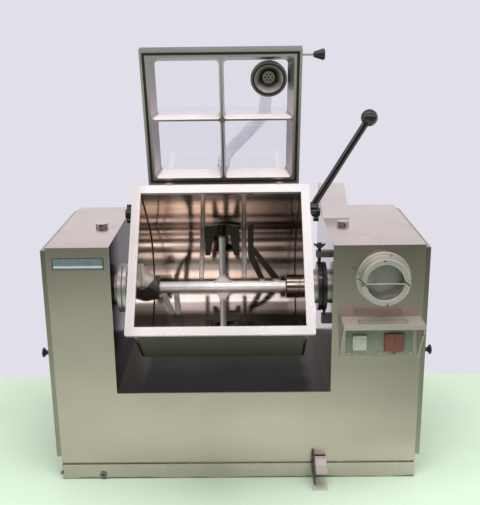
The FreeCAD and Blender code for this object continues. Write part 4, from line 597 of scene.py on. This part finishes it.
# The port's rings from its middle out: part of the radius, and the tone there
PORT_RADIUS = 0.06
PORT_RINGS = (
    (0.0, (0.34, 0.31, 0.29)), (0.32, (0.3, 0.27, 0.25)),
    (0.345, (0.03, 0.03, 0.03)), (0.44, (0.04, 0.04, 0.04)),
    (0.5, (0.14, 0.13, 0.12)), (0.66, (0.5, 0.46, 0.44)), (0.74, (0.55, 0.51, 0.49)),
    (0.757, (0.03, 0.03, 0.03)), (0.84, (0.04, 0.04, 0.04)),
    (0.856, (0.26, 0.23, 0.22)), (1.0, (0.2, 0.17, 0.16)),
)


def make_port_look():
    """The suction port in rings: dull dark flange, pale lip, dark cup and a paler perforated middle."""
    look = Shading("vacuum_port", Metallic=0.9)
    middle, face = port_place()
    place = look.vector("SUBTRACT", look.place, middle)
    flat = look.vector("SUBTRACT", place, look.vector("PROJECT", place, face))
    radius = look.span(look.vector("LENGTH", flat), 0.0, PORT_RADIUS, 0.0, 1.0)
    speck = look.noise(120.0, detail=4, rough=0.7)
    rings = look.ramp(radius, *PORT_RINGS)
    look.link(look.multiply(rings, look.span(speck, 0.35, 0.65, 0.7, 1.2)), "Base Color")
    look.link(look.span(speck, 0.3, 0.7, 0.35, 0.5), "Roughness")
    look.relief(speck, 0.2, 0.0004)
    return look.material


def make_cap_look():
    """Turned caps with a worn, blackened knurl round their sides."""
    look = Shading("top_caps", Metallic=1.0)
    patch = look.noise(28.0, detail=3, rough=0.6)
    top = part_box("top_caps")[1].z
    on_top = look.span(look.axis("Z"), top - 0.0015, top - 0.0005, 0.0, 1.0)
    worn = look.ramp(patch, (0.38, (0.08, 0.08, 0.08)), (0.47, (0.75, 0.71, 0.69)))
    look.link(look.blend(on_top, worn, (0.72, 0.68, 0.68)), "Base Color")
    look.link(look.span(patch, 0.3, 0.7, 0.25, 0.4), "Roughness")
    look.relief(look.noise(120, detail=2), 0.3, 0.0004, soft_edge=0.001)
    return look.material


OWN_FINISHES_AND_PAINTED_LIGHT = {node: steel(node, **values) for node, values in OWN_STEELS.items()}
OWN_FINISHES_AND_PAINTED_LIGHT.update(
    index_plunger=FINISHES["cast_iron"],
    limit_switch=FINISHES["cast_iron"],
    filter_glass=make_clear("filter_glass", (0.84, 0.83, 0.82, 1)),
    bowl_trough=make_bowl_look(),
    mixing_arm=make_arm_look(),
    bowl_rim=make_rim_look(),
    baffle_pins=make_pin_look(),
    well_tray=make_tray_look(),
    nameplate=make_plate_look(),
    vacuum_port=make_port_look(),
    top_caps=make_cap_look(),
)


def dress(node, material):
    mesh = nodes[node].data
    mesh.materials.clear()
    mesh.materials.append(material)


for subpart in frame["record"]["subparts"]:
    node = subpart["node"]
    dress(node, OWN_FINISHES_AND_PAINTED_LIGHT.get(node) or FINISHES[subpart["material_slot"]])


# Small details that the solids leave out

FRONTWARDS = (0, -1, 0)

# Where the camera sees them, in pixels of the photograph
PLUG_PIXEL = (103.6, 474.7)
NUB_PIXEL = (62.5, 472.5)
CLIP_PIXELS = (((357.0, 279.0), (360.0, 279.5), (366.5, 286.0), (367.0, 287.5)),
               ((402.5, 279.0), (403.5, 279.5), (407.5, 284.0), (409.5, 284.5)))

# Outlines of turned parts: radius and height, from the middle of the face to its edge. CENTRE stands
# for no radius, and a screw's outline is in parts of its own radius and height
CENTRE = 0.0001
SCREW = ((0.42, 0.35), (0.42, 0.9), (0.8, 0.9), (1.0, 0.6), (1.0, -0.1))
PLUG = ((CENTRE, 0.004), (0.004, 0.004), (0.0045, 0.003), (0.0045, 0.001), (0.0065, 0.001), (0.0075, 0.005),
        (0.0095, 0.006), (0.011, 0.004), (0.0115, 0.0), (0.0115, -0.001))
PLUG_HEART = ((CENTRE, 0.005), (0.003, 0.0048), (0.0043, 0.0035), (0.0043, 0.0005))
NUB = ((CENTRE, 0.007), (0.003, 0.0065), (0.005, 0.004), (0.0055, 0.0), (0.0055, -0.001))
SHADOW_DISC_RADIUS, SHADOW_DISC_EDGE, SHADOW_DISC_DEPTH = 0.0165, 0.002, 0.028


def in_bowl(across, along, above):
    """A place in the tilted bowl's own frame, measured from its axis."""
    c, s = math.cos(BOWL_TILT), math.sin(BOWL_TILT)
    return BOWL_AXIS + Vector((across, along * c - above * s, along * s + above * c))


def on_front(pixel, front=CABINET_FRONT):
    """The place on an upright plane facing the front that the camera sees at a pixel of the photograph."""
    px, py = pixel
    camera = bpy.context.scene.camera.matrix_world
    ray = camera.to_3x3() @ Vector(((px - PHOTO_SIZE[0] / 2) / FOCAL_PIXELS,
                                    (PHOTO_SIZE[1] / 2 - py) / FOCAL_PIXELS, -1))
    return CAMERA_PLACE + ray * ((front - CAMERA_PLACE.y) / ray.y)


def frame_along(direction):
    """A direction and two more that are square to it and to each other."""
    forward = Vector(direction).normalized()
    side = forward.orthogonal().normalized()
    return forward, side, forward.cross(side)


class Skin:
    """The vertices and faces of one piece, built up from turned parts and round runs."""

    def __init__(self):
        self.vertices = []
        self.faces = []

    def turn(self, profile, place, direction, steps=32, six_sided=()):
        """Turn (radius, height) points round a direction; the rows named in six_sided are hexagons."""
        forward, side, up = frame_along(direction)
        start = len(self.vertices)
        corner = math.pi / 6
        for row, (radius, height) in enumerate(profile):
            for step in range(steps):
                angle = 2 * math.pi * step / steps
                size = radius
                if row in six_sided:
                    size = radius * math.cos(corner) / math.cos(angle % (2 * corner) - corner)
                out = side * math.cos(angle) + up * math.sin(angle)
                self.vertices.append(place + forward * height + out * size)
        for row in range(start, start + (len(profile) - 1) * steps, steps):
            for step in range(steps):
                a, b = row + step, row + (step + 1) % steps
                self.faces.append((a, b, b + steps, a + steps))
        last = start + (len(profile) - 1) * steps
        self.faces.append(tuple(range(last, last + steps)))

    def screw(self, place, direction, radius, height):
        """A round head with a six-sided socket."""
        profile = [(CENTRE, height * 0.35)] + [(r * radius, h * height) for r, h in SCREW]
        self.turn(profile, place, direction, 24, six_sided=(1, 2))

    def bead(self, corners, radius, closed=True, pitch=0.004, sides=6, ripple=1.0):
        """A run along straight pieces between points, with the ripples that a hand weld has."""
        points = []
        spans = zip(corners, corners[1:] + corners[:1]) if closed else zip(corners, corners[1:])
        for a, b in spans:
            count = max(1, round((b - a).length / pitch))
            points += [a.lerp(b, step / count) for step in range(count)]
        if not closed:
            points.append(corners[-1])
        start = len(self.vertices)
        total = len(points)
        for number, point in enumerate(points):
            after = points[(number + 1) % total] if closed else points[min(number + 1, total - 1)]
            before = points[number - 1] if closed or number else point
            direction, side, up = frame_along(after - before)
            wave = 0.16 * math.sin(number * 2.1) + 0.08 * math.sin(number * 0.7)
            size = radius * (1.0 + ripple * wave)
            for step in range(sides):
                angle = 2 * math.pi * step / sides
                self.vertices.append(point + (side * math.cos(angle) + up * math.sin(angle)) * size)
        for number in range(total if closed else total - 1):
            near = start + number * sides
            far = start + (number + 1) % total * sides
            for step in range(sides):
                beyond = (step + 1) % sides
                self.faces.append((near + step, near + beyond, far + beyond, far + step))

    def make(self, name, slot, body, material=None):
        """Make the piece, smooth and dressed, and let it ride on its body."""
        mesh = bpy.data.meshes.new(name)
        mesh.from_pydata(self.vertices, [], self.faces)
        for polygon in mesh.polygons:
            polygon.use_smooth = True
        mesh.materials.append(material or FINISHES[slot])
        piece = bpy.data.objects.new(name, mesh)
        bpy.context.scene.collection.objects.link(piece)
        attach(piece, body)


def make_weld_look(name, tone, dark):
    """A rough weld, mottled in tone."""
    look = Shading(name, Metallic=1.0)
    grain = look.noise(220, detail=4, rough=0.7)
    look.link(look.ramp(grain, (0.3, dark), (0.7, tone)), "Base Color")
    look.link(look.span(grain, 0.3, 0.7, 0.35, 0.55), "Roughness")
    look.relief(grain, 0.4, 0.0006)
    return look.material


TRUNNION_WELD_RADIUS = 0.052
LUG_SIDES = (0.192, 0.202)
LUG_LOW, LUG_HIGH = 0.018, 0.058


def make_bowl_welds():
    """The runs under the bowl's rim, round both trunnions and round the lugs of the lid's hinge."""
    skin = Skin()
    rim = ((-1, -1), (1, -1), (1, 1), (-1, 1))
    skin.bead([in_bowl(x * BOWL_END, y * WALL_OUTSIDE, RIM_UNDERSIDE) for x, y in rim], 0.0025)
    ring = [math.radians(15 * step) for step in range(24)]
    for side in (-1, 1):
        across = BOWL_END * side
        skin.bead([in_bowl(across, TRUNNION_WELD_RADIUS * math.cos(a), TRUNNION_WELD_RADIUS * math.sin(a))
                   for a in ring], 0.0022)
        near, far = (reach * side for reach in LUG_SIDES)
        lug = ((near, LUG_LOW), (far, LUG_LOW), (far, LUG_HIGH), (near, LUG_HIGH))
        skin.bead([in_bowl(x, WALL_OUTSIDE, z) for x, z in lug], 0.0018)
    bright = make_weld_look("weld_bright", (0.62, 0.58, 0.56), (0.4, 0.36, 0.34))
    skin.make("bowl_welds", "satin_steel", "bowl", bright)


def make_corner_welds():
    """The runs inside the bowl, where its wall meets its two ends, painted dark as shade in those corners."""
    skin = Skin()
    low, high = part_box("bowl_trough")
    half = (high.x - low.x) / 2 - 0.0005
    radius = WALL_INSIDE - 0.002
    arc = [math.radians(180 + 10 * step) for step in range(19)]
    run = [(radius * math.cos(a), radius * math.sin(a)) for a in arc]
    run = [(-radius, WALL_OUTSIDE)] + run + [(radius, WALL_OUTSIDE)]
    for side in (-1, 1):
        skin.bead([in_bowl(half * side, y, z) for y, z in run], 0.0022, closed=False)
    shadowed = make_weld_look("weld_painted_shade", (0.16, 0.13, 0.12), (0.06, 0.05, 0.05))
    skin.make("bowl_corner_welds", "mirror_steel", "bowl", shadowed)


def make_screws():
    """Four screws in the filter's ring and two in the front of the control hood."""
    skin = Skin()
    low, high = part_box("filter_ring")
    middle = (low + high) / 2
    circle = (high.x - low.x) / 2 - 0.005
    for degrees in (95, 185, 275, 355):
        angle = math.radians(degrees)
        spot = Vector((middle.x + math.cos(angle) * circle, low.y, middle.z + math.sin(angle) * circle))
        skin.screw(spot, FRONTWARDS, 0.0026, 0.002)
    low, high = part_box("control_hood")
    for x in (low.x + 0.008, high.x - 0.008):
        skin.screw(Vector((x, low.y, high.z - 0.03)), FRONTWARDS, 0.0024, 0.0018)
    skin.make("front_screws", "satin_steel", "cabinet", FINISHES["cast_iron"])


def make_clips():
    """Two bent wire clips that hold the filter's glass."""
    skin = Skin()
    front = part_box("filter_ring")[0].y - 0.0012
    for clip in CLIP_PIXELS:
        skin.bead([on_front(pixel, front) for pixel in clip], 0.0014, closed=False, pitch=0.002, sides=8,
                  ripple=0.0)
    skin.make("filter_clips", "cast_iron", "cabinet")


def make_port_shadow_disc():
    """A black disc a little way behind the port's holes: painted shade for the dark inside of the hose."""
    middle, face = port_place()
    profile = ((CENTRE, 0.0), (SHADOW_DISC_RADIUS, 0.0), (SHADOW_DISC_RADIUS, SHADOW_DISC_EDGE))
    skin = Skin()
    skin.turn(profile, middle + face * SHADOW_DISC_DEPTH, face)
    skin.make("port_shadow_disc", "black_plastic", "lid")


def make_plinth_fittings():
    """A drain plug with a dark socket and a small nub on the front of the plinth."""
    plug = on_front(PLUG_PIXEL)
    skin = Skin()
    skin.turn(PLUG, plug, FRONTWARDS)
    skin.turn(NUB, on_front(NUB_PIXEL), FRONTWARDS, 24)
    skin.make("plinth_plugs", "structural_steel", "cabinet")
    heart = Skin()
    heart.turn(PLUG_HEART, plug, FRONTWARDS, 24)
    heart.make("plinth_plug_heart", "cast_iron", "cabinet")


make_bowl_welds()
make_corner_welds()
make_screws()
make_clips()
make_port_shadow_disc()
make_plinth_fittings()


# Stage: a pale floor, a room made of soft bands of light, and one lamp

FLOOR_NEAR, FLOOR_FAR, FLOOR_SIDE = -4.5, 0.495, 3.2
LAMP_PLACE = Vector((0.25, -1.5, 4.2))
LAMP_TARGET = Vector((0.0, 0.0, 0.4))
LAMP_WIDTH, LAMP_HEIGHT = 4.0, 3.0
LAMP_WATTS = 204


def make_stage():
    near_edge = [(-FLOOR_SIDE, FLOOR_NEAR, 0), (FLOOR_SIDE, FLOOR_NEAR, 0)]
    far_edge = [(FLOOR_SIDE, FLOOR_FAR, 0), (-FLOOR_SIDE, FLOOR_FAR, 0)]
    mesh = bpy.data.meshes.new("floor")
    mesh.from_pydata(near_edge + far_edge, [], [(0, 1, 2, 3)])
    floor = bpy.data.objects.new("floor", mesh)
    bpy.context.scene.collection.objects.link(floor)
    look = Shading("floor")
    marks = look.noise(1.5, detail=4)
    colour = look.ramp(marks, (0.3, (0.515, 0.65, 0.515)), (0.7, (0.56, 0.705, 0.56)))
    # the floor lies in shade towards the front of the room, most on the right
    depth = look.ramp(look.span(look.axis("Y"), -4.0, 0.0, 0.0, 1.0),
                      (0.0, 0.1), (0.35, 0.36), (0.6, 0.7), (0.81, 0.95), (0.9, 1.0))
    side = look.span(look.axis("X"), 0.2, 0.7, 1.0, 0.72)
    near = look.span(look.axis("Y"), -0.9, -0.42, 0.0, 1.0)
    shade = look.maths("MULTIPLY", depth, look.maths("MAXIMUM", side, near))
    look.link(look.multiply(colour, shade), "Base Color")
    look.link(look.span(marks, 0.3, 0.7, 0.35, 0.55), "Roughness")
    mesh.materials.append(look.material)


# Light in the room by its angle round the X axis, on the left and on the right:
# 0 is the back, 90 straight up, 180 the front
WALL = (0.76, 0.74, 0.82)
SHADE = (0.38, 0.37, 0.38)
ROOM = (
    (-180, (0.08, 0.08, 0.07), (0.06, 0.06, 0.05)),
    (-150, (0.2, 0.22, 0.18), (0.12, 0.13, 0.11)),
    (-80, (0.3, 0.34, 0.28), (0.3, 0.34, 0.28)),
    (-60, WALL, WALL),
    (4, WALL, WALL),
    (8, (1.08, 1.05, 1.1), (1.08, 1.05, 1.1)),
    (18, (1.08, 1.05, 1.1), (1.08, 1.05, 1.1)),
    (24, SHADE, SHADE),
    (60, SHADE, SHADE),
    (74, (0.62, 0.6, 0.62), (0.4, 0.38, 0.39)),
    (86, (0.8, 0.78, 0.82), (0.6, 0.58, 0.6)),
    (90, (1.9, 1.8, 1.78), (1.5, 1.4, 1.4)),
    (97, (2.4, 2.0, 1.7), (1.8, 1.55, 1.35)),
    (104, (1.9, 1.8, 1.78), (1.5, 1.4, 1.4)),
    (108, (0.8, 0.76, 0.76), (0.6, 0.56, 0.56)),
    (112, (0.15, 0.13, 0.12), (0.1, 0.09, 0.08)),
    (116, (0.22, 0.19, 0.17), (0.1, 0.09, 0.08)),
    (120, (0.6, 0.5, 0.48), (0.22, 0.19, 0.19)),
    (127, (0.75, 0.66, 0.66), (0.26, 0.23, 0.23)),
    (133, (0.75, 0.68, 0.66), (0.4, 0.38, 0.37)),
    (136, (1.6, 1.52, 1.5), (2.4, 2.3, 2.2)),
    (147, (1.6, 1.52, 1.5), (2.4, 2.3, 2.2)),
    (150, (0.29, 0.28, 0.3), (0.15, 0.15, 0.15)),
    (158, (0.29, 0.28, 0.3), (0.15, 0.15, 0.15)),
    (162, (0.09, 0.08, 0.08), (0.06, 0.06, 0.05)),
    (180, (0.08, 0.08, 0.07), (0.06, 0.06, 0.05)),
)


def map_range(tree, value, low, high):
    made = tree.nodes.new("ShaderNodeMapRange")
    made.inputs["From Min"].default_value = low
    made.inputs["From Max"].default_value = high
    tree.links.new(value, made.inputs["Value"])
    return made.outputs["Result"]


def make_world():
    """The room: its bands of light, with the left half's and the right half's blended in the middle."""
    world = bpy.data.worlds.new("room")
    bpy.context.scene.world = world
    world.use_nodes = True
    tree = world.node_tree
    place = tree.nodes.new("ShaderNodeTexCoord")
    parts = tree.nodes.new("ShaderNodeSeparateXYZ")
    tree.links.new(place.outputs["Generated"], parts.inputs[0])
    angle = tree.nodes.new("ShaderNodeMath")
    angle.operation = "ARCTAN2"
    tree.links.new(parts.outputs["Z"], angle.inputs[0])
    tree.links.new(parts.outputs["Y"], angle.inputs[1])
    turn = map_range(tree, angle.outputs[0], -math.pi, math.pi)
    mix = tree.nodes.new("ShaderNodeMix")
    mix.data_type = "RGBA"
    tree.links.new(map_range(tree, parts.outputs["X"], -0.01, 0.05), mix.inputs[0])
    for side in (1, 2):
        bands = tree.nodes.new("ShaderNodeValToRGB")
        tree.links.new(turn, bands.inputs["Fac"])
        set_stops(bands.color_ramp, [((row[0] + 180) / 360, row[side]) for row in ROOM])
        tree.links.new(bands.outputs["Color"], mix.inputs[5 + side])
    tree.links.new(mix.outputs[2], tree.nodes["Background"].inputs["Color"])


def make_lamp():
    """A wide soft lamp over the front, which shows in no reflection."""
    data = bpy.data.lights.new("key", "AREA")
    data.shape = "RECTANGLE"
    data.size = LAMP_WIDTH
    data.size_y = LAMP_HEIGHT
    data.energy = LAMP_WATTS
    lamp = bpy.data.objects.new("key", data)
    bpy.context.scene.collection.objects.link(lamp)
    lamp.location = LAMP_PLACE
    lamp.visible_glossy = False
    lamp.rotation_mode = "QUATERNION"
    lamp.rotation_quaternion = (LAMP_TARGET - LAMP_PLACE).to_track_quat("-Z", "Y")


make_stage()
make_world()
make_lamp()
bpy.context.scene.view_settings.view_transform = "Standard"
